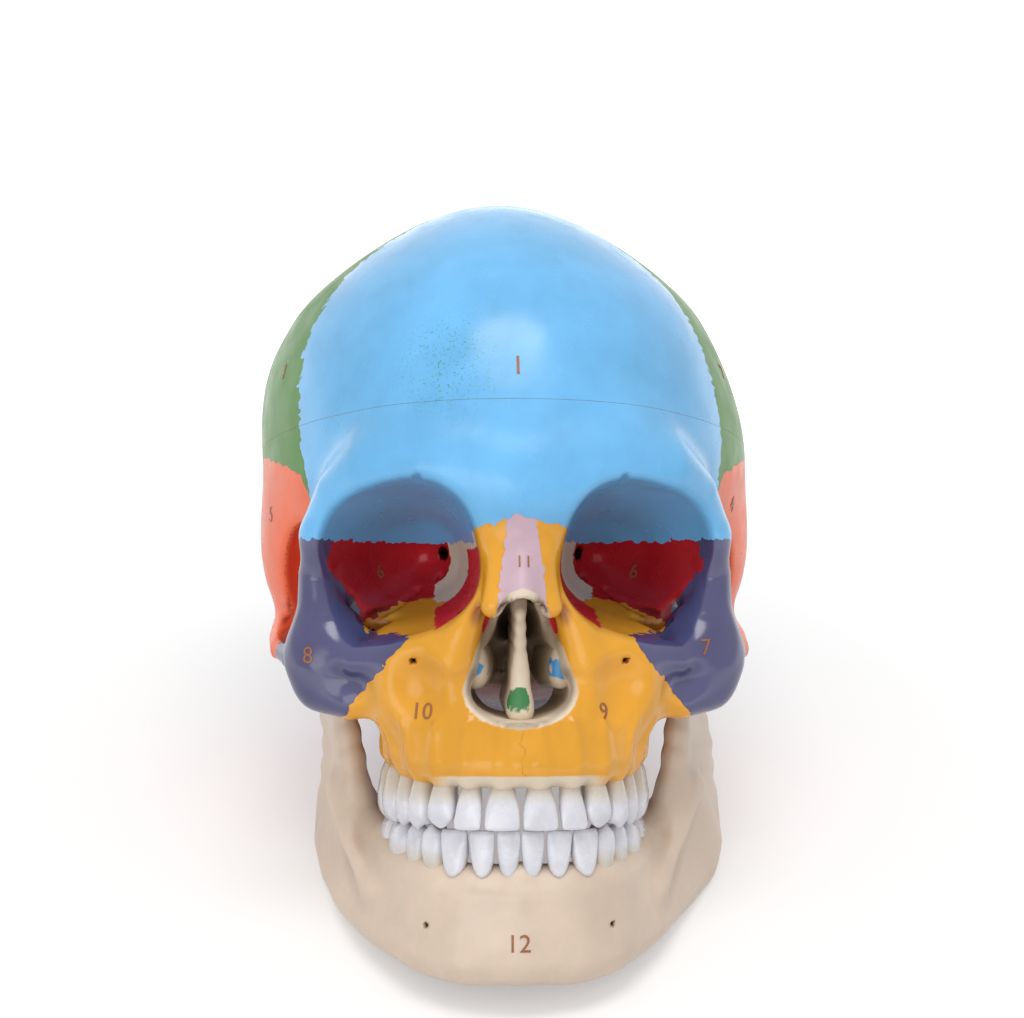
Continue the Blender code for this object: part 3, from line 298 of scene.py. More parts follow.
# Bones that aren't cut along the middle, and how far sutures wander
middle_bones = ("frontal", "nasal", "ethmoid", "sphenoid", "occipital")
suture_play = {"parietal": 1.7, "middle": 1.7, "temporal": 0.7}
plain_play = 0.75

# The pieces inside the nose, in shares: rods along two edges, and a colour patch on each
septum_shares = (
    ((0, -0.84, 0.12, 0.016), (0, -0.955, 0.03, 0.017), (0, -0.955, -0.10, 0.020),
     (0, -0.955, -0.18, 0.021), (0, -0.95, -0.225, 0.028)),
    ((0, -0.66, 0.12, 0.016), (0, -0.545, 0.05, 0.016), (0, -0.54, -0.08, 0.018),
     (0, -0.54, -0.18, 0.020), (0, -0.54, -0.215, 0.028)),
)
concha_shares = (
    ((0.205, -0.85, -0.070, 0.013), (0.180, -0.855, -0.066, 0.013),
     (0.156, -0.86, -0.086, 0.013), (0.146, -0.86, -0.122, 0.014),
     (0.156, -0.855, -0.148, 0.013)),
    ((0.185, -0.60, -0.066, 0.016), (0.150, -0.59, -0.058, 0.016),
     (0.118, -0.585, -0.082, 0.017), (0.106, -0.585, -0.122, 0.018),
     (0.122, -0.59, -0.156, 0.016)),
)
septum_patches = (((0.04, 0.20, 0.06), (-0.5, -88.5, -20.0), 2.8),)
concha_patches = (((0.06, 0.30, 0.62), (10.6, -79.5, -12.6), 2.5),
                  ((0.06, 0.30, 0.62), (-10.6, -79.5, -12.6), 2.5))

# Teeth: one value per tooth from the middle to the back, in millimetres
upper_tooth_widths = (8.9, 7.1, 8.1, 7.3, 7.1, 10.5, 9.9)
lower_tooth_widths = (5.9, 6.4, 7.3, 7.4, 7.6, 11.1, 10.5)
upper_tooth_depths = (6.6, 6.2, 7.8, 8.8, 8.8, 10.6, 10.4)
lower_tooth_depths = (5.8, 6.0, 7.2, 7.6, 8.0, 10.0, 9.8)
tooth_gap = 0.1
tooth_kinds = ("incisor", "incisor", "canine", "premolar", "premolar", "molar", "molar")
swell_heights = (2.0, 7.0, 12.0, 17.0)
swell_radii = (2.7, 2.4, 3.0, 2.2, 2.1, 2.6, 2.4)
tooth_points = 32

# Rings of a tooth from its biting edge to its root: how far along the crown, width and depth
# in shares, how far out in shares of the depth, and how square
tooth_profile_shares = {
    "incisor": ((0.00, 0.84, 0.12, 0.08, 3.0), (0.02, 0.93, 0.20, 0.08, 3.2),
                (0.10, 0.99, 0.32, 0.08, 3.2), (0.28, 1.00, 0.52, 0.06, 2.8),
                (0.52, 0.96, 0.80, 0.02, 2.5), (0.76, 0.85, 0.98, 0.0, 2.2),
                (0.95, 0.75, 0.97, 0.0, 2.1), (1.15, 0.66, 0.84, 0.0, 2.0),
                (1.40, 0.46, 0.58, 0.0, 2.0), (1.58, 0.16, 0.20, 0.0, 2.0)),
    "canine": ((0.00, 0.10, 0.14, 0.05, 2.0), (0.03, 0.26, 0.24, 0.05, 2.2),
               (0.12, 0.62, 0.42, 0.05, 2.6), (0.26, 0.94, 0.62, 0.04, 2.6),
               (0.42, 1.00, 0.82, 0.02, 2.4), (0.66, 0.91, 0.98, 0.0, 2.2),
               (0.92, 0.78, 0.98, 0.0, 2.1), (1.15, 0.68, 0.88, 0.0, 2.0),
               (1.42, 0.48, 0.60, 0.0, 2.0), (1.60, 0.16, 0.20, 0.0, 2.0)),
    "premolar": ((0.03, 0.30, 0.26, 0.0, 2.2), (0.05, 0.62, 0.54, 0.0, 2.4),
                 (0.08, 0.82, 0.74, 0.0, 2.5), (0.16, 0.94, 0.88, 0.0, 2.6),
                 (0.34, 1.00, 0.98, 0.0, 2.5), (0.60, 0.95, 1.00, 0.0, 2.4),
                 (0.90, 0.80, 0.92, 0.0, 2.2), (1.15, 0.68, 0.82, 0.0, 2.0),
                 (1.42, 0.46, 0.56, 0.0, 2.0), (1.58, 0.16, 0.20, 0.0, 2.0)),
    "molar": ((0.06, 0.24, 0.24, 0.0, 2.4), (0.07, 0.52, 0.50, 0.0, 2.6),
              (0.09, 0.76, 0.74, 0.0, 2.8), (0.15, 0.91, 0.89, 0.0, 3.0),
              (0.32, 1.00, 0.98, 0.0, 2.9), (0.60, 0.98, 1.00, 0.0, 2.7),
              (0.90, 0.86, 0.90, 0.0, 2.4), (1.15, 0.78, 0.82, 0.0, 2.3),
              (1.42, 0.56, 0.60, 0.0, 2.2), (1.58, 0.20, 0.24, 0.0, 2.0)),
    "peg": ((0.00, 0.84, 0.14, 0.08, 3.0), (0.02, 0.93, 0.24, 0.08, 3.2),
            (0.12, 1.00, 0.40, 0.08, 3.0), (0.34, 1.00, 0.66, 0.06, 2.7),
            (0.58, 0.95, 0.86, 0.06, 2.4), (0.76, 0.86, 0.82, 0.12, 2.3),
            (0.90, 0.72, 0.66, 0.22, 2.2), (1.01, 0.50, 0.46, 0.34, 2.1),
            (1.08, 0.22, 0.22, 0.44, 2.0)),
}
cusp_places_share = {
    "premolar": ((0.0, 0.48), (0.0, -0.46)),
    "molar": ((0.46, 0.46), (-0.46, 0.46), (0.46, -0.46), (-0.46, -0.46)),
}
upper_lean_shares = (0.30, 0.28, 0.18, 0.08, 0.05, 0.0, 0.0)
lower_lean_shares = (0.22, 0.20, 0.10, 0.0, -0.05, -0.10, -0.10)
inner_taper_shares = (0.12, 0.16, 0.26, 0.16, 0.08, 0.06, 0.04)
cusp_share, cusp_spread = 0.17, 0.09

# Pins, screws and springs, in millimetres
pin_radius = 0.95
pin_chamfer = 0.35
shank_radius = 1.1
head_radius = 2.45
head_height = 1.3
slot_width = 0.6
slot_depth = 0.6
wire_radius = 0.35
coil_radius = 1.85
spring_curls = 8
hook_radius = 1.85
hook_reach = 4.05
hook_spread = 55.1

# Each number: its text, the piece that carries it, a pixel in the photograph and its height
numbers = (
    ("1", "cap_frontal_bone", (518, 366), 5.2),
    ("2", "cap_parietal_left_bone", (722, 372), 4.4),
    ("3", "cap_parietal_right_bone", (284, 372), 4.4),
    ("4", "temporal_left_bone", (732, 505), 4.4),
    ("5", "temporal_right_bone", (271, 515), 4.4),
    ("6", "sphenoid_bone", (634, 572), 4.0),
    ("6", "sphenoid_bone", (380, 572), 4.0),
    ("7", "zygomatic_left_bone", (706, 648), 4.4),
    ("8", "zygomatic_right_bone", (308, 656), 4.4),
    ("9", "maxilla_left_bone", (604, 712), 4.4),
    ("10", "maxilla_right_bone", (422, 712), 4.4),
    ("11", "nasal_bone", (524, 562), 3.2),
    ("12", "jaw_bone", (519, 945), 4.6),
)
print_depth = 0.09

# Bare bone, the brown of its painted shade and pits, and the green dots on the forehead
stipple_middle = (-18, -84, 66)
ivory = (0.76, 0.64, 0.49)
painted_shade_and_pit_brown = (0.10, 0.045, 0.02)
stipple_share = 0.7


class Cells:
    """A block of grid cells, of which a form only fills in the ones near it."""

    def __init__(self, low, high, step):
        self.axes = [np.arange(a, b + step, step) for a, b in zip(low, high)]
        self.shape = tuple(len(axis) for axis in self.axes)

    def near(self, low, high):
        cuts = []
        for axis, a, b in zip(self.axes, low, high):
            start, end = np.searchsorted(axis, (a, b))
            cuts.append(slice(max(start - 1, 0), min(end + 1, len(axis))))
        x, y, z = (axis[cut] for axis, cut in zip(self.axes, cuts))
        return tuple(cuts), x[:, None, None], y[None, :, None], z[None, None, :]


class Spots:
    """Loose points, of which a form only fills in the ones near it."""

    def __init__(self, points):
        self.points = points
        self.shape = (len(points),)

    def near(self, low, high):
        index = np.nonzero(((self.points >= low) & (self.points <= high)).all(axis=1))[0]
        return index, *self.points[index].T


class Ball:
    """An ellipsoid."""

    def __init__(self, centre, radii):
        self.centre, self.radii = np.array(centre, float), np.array(radii, float)
        self.low, self.high = self.centre - self.radii, self.centre + self.radii

    def __call__(self, x, y, z):
        u, v, w = ((a - b) / c for a, b, c in zip((x, y, z), self.centre, self.radii))
        size = np.sqrt(u * u + v * v + w * w)
        slope = np.sqrt(sum((a / b) ** 2 for a, b in zip((u, v, w), self.radii)))
        return size * (size - 1) / np.maximum(slope, 1e-6)


class Limb:
    """Tapering rods through places with radii, in (x, y, z, radius) rows."""

    def __init__(self, rows):
        rows = np.array(rows, float)
        self.places, self.radii = rows[:, :3], rows[:, 3]
        self.low = (self.places - rows[:, 3:]).min(axis=0)
        self.high = (self.places + rows[:, 3:]).max(axis=0)

    def __call__(self, x, y, z):
        best = None
        for start, end, first, second in zip(self.places, self.places[1:], self.radii,
                                             self.radii[1:]):
            run = end - start
            share = (x - start[0]) * run[0] + (y - start[1]) * run[1] + (z - start[2]) * run[2]
            share = np.clip(share / max(run @ run, 1e-9), 0, 1)
            away = [a - b - share * c for a, b, c in zip((x, y, z), start, run)]
            value = np.sqrt(sum(a * a for a in away)) - first - share * (second - first)
            best = value if best is None else np.minimum(best, value)
        return best


class Plate:
    """Ribs between two edges, each a list of (x, y, z, radius) rows, melted together."""

    def __init__(self, edges, count):
        ends = []
        for edge in edges:
            steps = np.linspace(0, len(edge) - 1, count)
            ends.append(np.stack([np.interp(steps, range(len(edge)), row) for row in edge.T], 1))
        self.ribs = [Limb(pair) for pair in zip(*ends)]
        self.low = np.min([rib.low for rib in self.ribs], axis=0)
        self.high = np.max([rib.high for rib in self.ribs], axis=0)

    def __call__(self, x, y, z):
        best = self.ribs[0](x, y, z)
        for rib in self.ribs[1:]:
            best = melted(best, rib(x, y, z), soft)
        return best


class Orbit:
    """The hollow of the eye, with a rounded square section and a domed end."""

    power, roll, reach, dome, dome_depth = 2.5, math.radians(-14), 16.0, 0.72, 0.97
    taper_power, mouth_flare = 1.4, 0.4

    def __init__(self):
        self.mouth, apex = (np.array(a) * half for a in (orbit_mouth_share, orbit_apex_share))
        self.wide, self.tall = orbit_breadth / 2, orbit_height / 2
        run = apex - self.mouth
        self.length = np.linalg.norm(run)
        self.way = run / self.length
        across = np.cross(self.way, (0, 0, 1.0))
        across /= np.linalg.norm(across)
        up = np.cross(across, self.way)
        cos, sin = math.cos(self.roll), math.sin(self.roll)
        self.across, self.up = cos * across + sin * up, cos * up - sin * across
        size = max(self.wide, self.tall) * 1.3
        self.low = np.minimum(self.mouth - self.reach, apex) - size
        self.high = np.maximum(self.mouth, apex) + size

    def __call__(self, x, y, z):
        x, y, z = (a - b for a, b in zip((x, y, z), self.mouth))
        depth, u, v = (x * a[0] + y * a[1] + z * a[2] for a in (self.way, self.across, self.up))
        share = depth / self.length
        size = abs(u / self.wide) ** self.power + abs(v / self.tall) ** self.power
        size = size ** (1 / self.power)
        wanted = 1 - (1 - orbit_taper_share) * np.clip(share, 0, 1) ** self.taper_power
        wanted = wanted + np.clip(-share, 0, 1) * self.mouth_flare
        end = np.clip((share - self.dome) / (1 - self.dome), 0, 1)
        wanted = wanted * np.sqrt(1 - self.dome_depth * end * end)
        side = (size - wanted) * min(self.wide, self.tall)
        return np.maximum(side, np.maximum(depth - self.length, -depth - self.reach))


def melted(first, second, melt):
    """The smooth lower value of two."""
    overlap = np.clip((melt - np.abs(first - second)) / melt, 0, None)
    return np.minimum(first, second) - overlap * overlap * melt / 4


def sides(form):
    """A form, with its mirror image where it isn't on the middle plane."""
    if abs(form.low[0] + form.high[0]) < 1e-6:
        return [form]

    def other(x, y, z):
        return form(-x, y, z)
    other.low, other.high = form.low.copy(), form.high.copy()
    other.low[0], other.high[0] = -form.high[0], -form.low[0]
    return [form, other]


def join(cells, field, form, melt=soft, margin=5.0, sign=1):
    """Add a form and its mirror image to a field, or take them out if the sign is -1."""
    for one in sides(form):
        spot, x, y, z = cells.near(one.low - melt - margin, one.high + melt + margin)
        if field[spot].size:
            field[spot] = sign * melted(sign * field[spot], one(x, y, z), melt)


def carve(cells, field, form, melt=2.0):
    join(cells, field, form, melt, sign=-1)


def joined(cells, forms, melt, margin=5.0):
    """A field of some forms in empty space."""
    field = np.full(cells.shape, 50.0)
    for form in forms:
        join(cells, field, form, melt, margin)
    return field


def ball_from(row):
    return Ball(row[0] * half, np.array(row[1]) * half)


def limb_from(rows):
    return Limb(np.array(rows) * (*half, half[0]))


def plate_from(edges, ribs):
    return Plate([np.array(edge) * (*half, half[0]) for edge in edges], ribs)


def skin_of(field, low, step):
    """Points and triangles of a field's zero surface, one point in each cell it crosses."""
    inside = field < 0
    corners = [(i, j, k) for i in (0, 1) for j in (0, 1) for k in (0, 1)]
    size = [n - 1 for n in field.shape]

    def shifted(array, corner):
        return array[tuple(slice(a, a + n) for a, n in zip(corner, size))]

    count = sum(shifted(inside, corner).astype(np.int8) for corner in corners)
    cells = np.nonzero((count > 0) & (count < 8))
    number = np.full(size, -1)
    number[cells] = np.arange(len(cells[0]))
    values = {corner: shifted(field, corner)[cells] for corner in corners}
    total, hits = np.zeros((len(cells[0]), 3)), np.zeros(len(cells[0]))
    for corner in corners:
        for axis in (i for i in range(3) if not corner[i]):
            a, b = values[corner], values[tuple(1 if i == axis else corner[i] for i in range(3))]
            crossed = (a < 0) != (b < 0)
            place = np.array(corner, float)[None].repeat(len(a), 0)
            place[:, axis] = np.where(crossed, a / np.where(crossed, a - b, 1), 0)
            total += place * crossed[:, None]
            hits += crossed
    points = (np.stack(cells, 1) + total / hits[:, None]) * step + low
    quads = []
    for axis in range(3):
        one, two = (i for i in range(3) if i != axis)
        first, second = (inside.take(range(a, a + size[axis]), axis) for a in (0, 1))
        edges = np.stack(np.nonzero(first != second), 1)
        fits = (edges[:, [one, two]] > 0).all(1)
        fits &= (edges[:, one] < field.shape[one] - 1) & (edges[:, two] < field.shape[two] - 1)
        edges = edges[fits]
        ring = []
        for shift in ((-1, -1), (0, -1), (0, 0), (-1, 0)):
            cell = edges.copy()
            cell[:, [one, two]] += shift
            ring.append(number[tuple(cell.T)])
        quad = np.stack(ring, 1)
        outwards = first[tuple(edges.T)] != (axis == 1)
        quad[~outwards] = quad[~outwards][:, ::-1]
        quads.append(quad)
    quads = np.concatenate(quads)
    return points, np.concatenate((quads[:, :3], quads[:, [0, 2, 3]]))


def slope_of(field, points, reach=0.25):
    """The field's values and slopes at points."""
    here = field(Spots(points))
    slope = np.zeros_like(points)
    for axis in range(3):
        moved = points.copy()
        moved[:, axis] += reach
        slope[:, axis] = (field(Spots(moved)) - here) / reach
    return here, slope


def settled(field, points, furthest=0.6):
    """Points moved onto the field's zero surface."""
    here, slope = slope_of(field, points)
    move = -slope * (here / np.maximum((slope ** 2).sum(1), 0.1))[:, None]
    length = np.linalg.norm(move, axis=1)
    return points + move * (np.minimum(length, furthest) / np.maximum(length, 1e-9))[:, None]


def on_left(points):
    """Points, with those on the skull's right moved to the same place on its left."""
    return np.column_stack((abs(points[:, 0]), points[:, 1:]))


# Each jaw: its arch, the sizes and leans of its teeth, their biting edge and their roots' way
jaws = {
    "upper": (upper_arch_shares, upper_tooth_widths, upper_tooth_depths, upper_lean_shares,
              upper_crown_height, bite_height, 1),
    "lower": (lower_ridge_shares, lower_tooth_widths, lower_tooth_depths, lower_lean_shares,
              lower_crown_height, bite_height - bite_gap, -1),
}


def smooth_line(rows, share):
    """A place on the smooth curve through rows of shares."""
    reach = share * (len(rows) - 1)
    index = min(int(reach), len(rows) - 2)
    part = reach - index
    before = rows[index - 1] if index else (-rows[1][0], rows[1][1])
    ends = (before, rows[index], rows[index + 1], rows[min(len(rows) - 1, index + 2)])
    a, b, c, d = (np.array(end) * half[:2] for end in ends)
    bend = 2 * a - 5 * b + 4 * c - d + part * (3 * (b - c) + d - a)
    return b + part * (c - a + part * bend) / 2


def arch_places(rows, widths, count=240):
    """The middle of each left tooth along a dental arch, with the arch's direction there."""
    points = [smooth_line(rows, step / count) for step in range(count + 1)]
    places = []
    target = 0.0
    for width in widths:
        middle = target + tooth_gap / 2 + width / 2
        target += width + tooth_gap
        walked = 0.0
        for first, second in zip(points, points[1:]):
            walked += np.linalg.norm(second - first)
            if walked >= middle:
                break
        places.append((second, (second - first) / np.linalg.norm(second - first)))
    return places


def ridge_field(spots):
    """The bone that holds the upper roots, before their swellings."""
    values = joined(spots, [plate_from(upper_ridge_shares, 20)], 3.0, 30.0)
    for row in face_ball_shares[4:7]:
        join(spots, values, ball_from(row), 5.0, 30.0)
    return values


def root_swells():
    """The low ridges that the upper roots raise on the bone's outer face."""
    steps = np.arange(0, 16, 0.25)
    result = []
    places = arch_places(upper_arch_shares, upper_tooth_widths)
    for (place, run), radius in zip(places, swell_radii):
        out = np.array((run[1], -run[0], 0.0))
        rows = []
        for height in swell_heights:
            start = np.array((*place, bite_height + upper_crown_height + height))
            line = start + out * steps[:, None]
            inside = np.nonzero(ridge_field(Spots(line)) < 0)[0]
            if len(inside) and inside[-1] < len(steps) - 1:
                fade = 1 - 0.22 * len(rows)
                proud = radius * 0.10 * fade
                rows.append((*(line[inside[-1]] - out * (radius * fade - proud)), radius * fade))
        if len(rows) > 1:
            result.append(Limb(rows))
    return result


upper_swells = root_swells()


def ring_faces(rings, count, low, high):
    """The faces between rings of points, closed by a point at each end."""
    faces = []
    for ring in range(rings - 1):
        for side in range(count):
            a, b = ring * count + side, ring * count + (side + 1) % count
            faces.append((a, b, b + count, a + count))
    last = (rings - 1) * count
    for side in range(count):
        after = (side + 1) % count
        faces += [(low, after, side), (high, last + side, last + after)]
    return faces


def tooth_mesh(place, run, edge, up, kind, width, depth, crown, lean, taper):
    """A tooth's points and faces in the skull's frame."""
    out = np.array((run[1], -run[0]))
    turn = np.arange(tooth_points) * math.tau / tooth_points
    points = []
    for along, wide, deep, shift, power in tooth_profile_shares[kind]:
        u, v = (np.sign(a) * abs(a) ** (2 / power) for a in (np.cos(turn), np.sin(turn)))
        across = u * wide * width / 2 * (1 + taper * v)
        outward = v * deep * depth / 2 + shift * depth + lean * crown * (1 - along)
        height = np.full(tooth_points, along * crown)
        for s, t in cusp_places_share.get(kind, ()):
            away = (u * wide - s) ** 2 + (v * deep - t) ** 2
            height -= cusp_share * crown * np.exp(-away / cusp_spread) * max(0.0, 1 - along * 2)
        if kind == "incisor" and along < 0.2:
            height += 0.03 * crown * (u * wide) ** 2
        flat = place + run * across[:, None] + out * outward[:, None]
        points.append(np.column_stack((flat, edge + up * height)))
    rings = len(points)
    points = np.concatenate(points)
    caps = [points[:tooth_points].mean(axis=0), points[-tooth_points:].mean(axis=0)]
    if kind in cusp_places_share:
        caps[0][2] = edge + up * crown * 0.10
    points = np.vstack((points, caps))
    faces = ring_faces(rings, tooth_points, len(points) - 2, len(points) - 1)
    return points, [face[::-1] for face in faces] if up > 0 else faces


def teeth_of(jaw):
    """Each tooth of a jaw: its number, side, points and faces."""
    line, widths, depths, leans, crown, edge, up = jaws[jaw]
    for number, (place, run) in enumerate(arch_places(line, widths)):
        kind = "peg" if jaw == "lower" and number < 3 else tooth_kinds[number]
        points, faces = tooth_mesh(place, run, edge, up, kind, widths[number], depths[number],
                                   crown, leans[number], inner_taper_shares[number])
        yield number + 1, "left", points, faces
        yield number + 1, "right", points * (-1, 1, 1), [face[::-1] for face in faces]


def vault(cells):
    """The round brain case."""
    return joined(cells, map(ball_from, vault_shares), 9.0, 40.0) + skin_trim


def carve_forms():
    """The hollows of the face, each with how softly its edge runs out."""
    return ([(Orbit(), 2.5)]
            + [(ball_from(row), 3.0) for row in carve_ball_shares]
            + [(limb_from(rows), 1.5) for rows in carve_limb_shares]
            + [(Limb(rows), 0.8) for rows in hole_rows])


def jaw_head(radii):
    """The jaw's head, or the hollow that it turns in."""
    return Ball((jaw_head_side, jaw_axis_back, jaw_axis_height), radii)


def nose_room(cells):
    """How far points are from the inside of the nose."""
    field = joined(cells, map(ball_from, carve_ball_shares[:3]), 3.0, 40.0)
    join(cells, field, limb_from(carve_limb_shares[0]), 2.0)
    return field


def brain_space(cells, case):
    """The space inside the brain case's wall, kept clear of the face's hollows."""
    blocked = joined(cells, [], 0)
    for form, melt in carve_forms() + [(jaw_head(jaw_room_radii), 2.0)]:
        join(cells, blocked, form, melt, 12.0)
    field = -melted(-case - wall, blocked - wall, 3.0)
    for rows in inner_ridge_rows:
        carve(cells, field, Limb(rows), 6.0)
    return field


def cranium(cells):
    """The base and the cap as one hollow body."""
    case = vault(cells)
    field = case.copy()
    for index, row in enumerate(face_ball_shares):
        join(cells, field, ball_from(row), 5.0 if index else 14.0)
    for index, rows in enumerate(face_limb_shares):
        join(cells, field, limb_from(rows), soft if index else 12.0)
    join(cells, field, plate_from(upper_ridge_shares, 20), 3.0)
    for rows, melt in relief_rows:
        join(cells, field, Limb(rows), melt)
    for swell in upper_swells:
        join(cells, field, swell, 2.5)
    field += skin_trim
    for form, melt in carve_forms() + [(jaw_head(jaw_room_radii), 1.5)]:
        carve(cells, field, form, melt)
    field = -melted(-field, brain_space(cells, case), 1.5)
    carve(cells, field, ball_from(spine_hole_shares), 2.0)
    return field


def jaw_field(cells):
    """The jaw before its lean."""
    field = joined(cells, [plate_from(jaw_body_shares, 24), plate_from(jaw_branch_shares, 10)],
                   3.0)
    join(cells, field, jaw_head(jaw_head_radii), 3.5)
    join(cells, field, ball_from(chin_shares), 4.0)
    for rows, melt in jaw_relief_rows:
        join(cells, field, Limb(rows), melt)
    field += jaw_trim
    carve(cells, field, ball_from(jaw_notch_shares), 3.0)
    for rows, melt in jaw_hole_rows:
        carve(cells, field, Limb(rows), melt)
    return field


def lean_shift(points):
    """How far the jaw leans to the skull's left at points."""
    back = np.clip((points[:, 1] / half[1] + 0.58) / 0.40, 0, 1)
    down = np.clip((-points[:, 2] / half[2] - 0.14) / 0.22, 0, 1)
    share = back * down
    return jaw_lean * share * share * (3 - 2 * share)


# Columns of a skin's table of points; SHADE holds how much painted shade each point's hollow gets
PLACE = slice(0, 3)
NORMAL = slice(3, 6)
SHADE, BARE, SEAM = 6, 7, 8


def edges_of(tris):
    """The two ends of each edge, lower number first, three edges to a triangle."""
    return np.sort(tris[:, [0, 1, 1, 2, 2, 0]].reshape(-1, 2), axis=1)


def refined(rows, tris, close):
    """Halve the edges whose two ends are both marked."""
    ends = edges_of(tris)
    marked = close[ends].all(axis=1)
    keys, index = np.unique(ends[marked, 0] * len(rows) + ends[marked, 1], return_inverse=True)
    middle = np.full(len(ends), -1)
    middle[marked] = index + len(rows)
    middle = middle.reshape(-1, 3)
    rows = np.vstack((rows, (rows[keys // len(rows)] + rows[keys % len(rows)]) / 2))
    count = (middle >= 0).sum(axis=1)
    start = (middle[count == 1] >= 0).argmax(axis=1)
    turn = (start[:, None] + np.arange(3)) % 3
    a, b, c = np.take_along_axis(tris[count == 1], turn, 1).T
    m = np.take_along_axis(middle[count == 1], turn, 1)[:, 0]
    d, e, f = tris[count == 3].T
    p, q, r = middle[count == 3].T
    parts = ((a, m, c), (m, b, c), (d, p, r), (p, e, q), (r, q, f), (p, q, r))
    return rows, np.concatenate([tris[count == 0]] + [np.stack(part, 1) for part in parts])


def parted(rows, tris, values):
    """Cut triangles where values change sign. Gives all points, the triangles on the positive
    side, those on the other, and the numbers of the new points."""
    values = np.where(abs(values) < 1e-5, 1e-5, values)
    above = values > 0
    count = above[tris].sum(axis=1)
    mixed = tris[(count == 1) | (count == 2)]
    inside = above[mixed]
    lone_above = inside.sum(axis=1) == 1
    lone = np.where(lone_above, inside.argmax(axis=1), (~inside).argmax(axis=1))
    turn = (lone[:, None] + np.arange(3)) % 3
    a, b, c = np.take_along_axis(mixed, turn, 1).T
    ends = np.sort(np.stack((a, b, a, c), 1).reshape(-1, 2), axis=1)
    keys, index = np.unique(ends[:, 0] * len(rows) + ends[:, 1], return_inverse=True)
    low, high = keys // len(rows), keys % len(rows)
    share = (values[low] / (values[low] - values[high]))[:, None]
    fresh = np.arange(len(rows), len(rows) + len(keys))
    rows = np.vstack((rows, rows[low] + share * (rows[high] - rows[low])))
    ab, ac = (index.reshape(-1, 2) + fresh[0]).T if len(keys) else (a, a)
    tips = np.stack((a, ab, ac), 1)
    rests = np.stack((np.stack((ab, b, c), 1), np.stack((ab, c, ac), 1)))
    up = [tris[count == 3], tips[lone_above], *rests[:, ~lone_above]]
    down = [tris[count == 0], tips[~lone_above], *rests[:, lone_above]]
    return rows, np.concatenate(up), np.concatenate(down), fresh


class Rough:
    """Smooth random shifts of points through space, the same on each run."""

    def __init__(self, seeds, cell):
        self.tables = [np.random.default_rng(seed).uniform(-1, 1, (32, 32, 32))
                       for seed in seeds]
        self.cell = cell

    def __call__(self, points):
        place = points / self.cell
        low = np.floor(place).astype(int)
        share = place - low
        share = share * share * (3 - 2 * share)
        totals = [0] * len(self.tables)
        for corner in ((i, j, k) for i in (0, 1) for j in (0, 1) for k in (0, 1)):
            weight = np.prod([share[:, i] if corner[i] else 1 - share[:, i] for i in range(3)], 0)
            index = tuple(((low + corner) % 32).T)
            totals = [total + weight * table[index] for total, table in zip(totals, self.tables)]
        return np.stack(totals, 1)


def outline_depth(points, outline):
    """How deep 2-D points lie inside an outline, negative outside."""
    inside = np.zeros(len(points), bool)
    nearest = np.full(len(points), 1e9)
    for start, end in zip(outline, np.roll(outline, -1, axis=0)):
        run = end - start
        share = np.clip((points - start) @ run / (run @ run), 0, 1)
        away = points - start - share[:, None] * run
        nearest = np.minimum(nearest, (away ** 2).sum(1))
        crosses = (start[1] > points[:, 1]) != (end[1] > points[:, 1])
        rise = run[1] if abs(run[1]) > 1e-12 else 1e-12
        inside ^= crosses & (points[:, 0] < start[0] + (points[:, 1] - start[1]) / rise * run[0])
    return np.sqrt(nearest) * np.where(inside, 1, -1)


def bone_depth(blocks, points):
    """How deep points lie inside the blocks that take one bone."""
    depth = np.full(len(points), 1e9)
    for view, outline, low, high in blocks:
        one, two, deep = {"side": (1, 2, 0), "front": (0, 2, 1), "top": (0, 1, 2)}[view]
        outline = np.array(outline) * half[[one, two]]
        depth = np.minimum(depth, outline_depth(points[:, [one, two]], outline))
        if low > -0.1:
            depth = np.minimum(depth, points[:, deep] - low * half[deep])
        depth = np.minimum(depth, high * half[deep] - points[:, deep])
    return depth


def lean_of_stand():
    """The turn and shift that bring the skull's frame, in millimetres, to the part's, in metres.
    The cap lifts square to its seam and the jaw turns at its heads, so their joints tell both."""
    joints = {joint["name"]: joint for joint in frame["joints"]}
    way = joints["cap_lift"]["axis"]
    angle = math.atan2(way[1], way[2]) + math.atan(seam_slope_share)
    cos, sin = math.cos(angle), math.sin(angle)
    turn = np.array(((1, 0, 0), (0, cos, sin), (0, -sin, cos)))
    head = turn @ np.array((0, jaw_axis_back, jaw_axis_height)) / 1000
    return turn, np.array(joints["jaw_open"]["pos_m"]) - head


stand_turn, stand_shift = lean_of_stand()
seam_way = np.array((0, -seam_slope_share, 1)) / math.hypot(1, seam_slope_share)
seam_start = np.array((0, -half[1], seam_front_height))


def placed(points):
    """Points of the skull's frame in the part's."""
    return np.asarray(points, float) @ stand_turn.T / 1000 + stand_shift


def eased(values, start, end):
    """A smooth step from 0 to 1 and its slope."""
    share = np.clip((values - start) / (end - start), 0, 1)
    return share * share * (3 - 2 * share), 6 * share * (1 - share) / (end - start)


def settled_vault(rows):
    """The roof of the cast leans to the skull's right and narrows towards its top. Moves the
    points and turns their normals to suit."""
    x, z = rows[:, 0].copy(), rows[:, 2]
    side, side_slope = eased(z, skew_start, skew_end)
    narrow, narrow_slope = eased(z, gable_start, gable_end)
    size = 1 - gable_share * narrow
    rows[:, 0] = x * size - skew_reach * side
    rows[:, 3] /= size
    rows[:, 5] -= rows[:, 3] * (-gable_share * narrow_slope * x - skew_reach * side_slope)


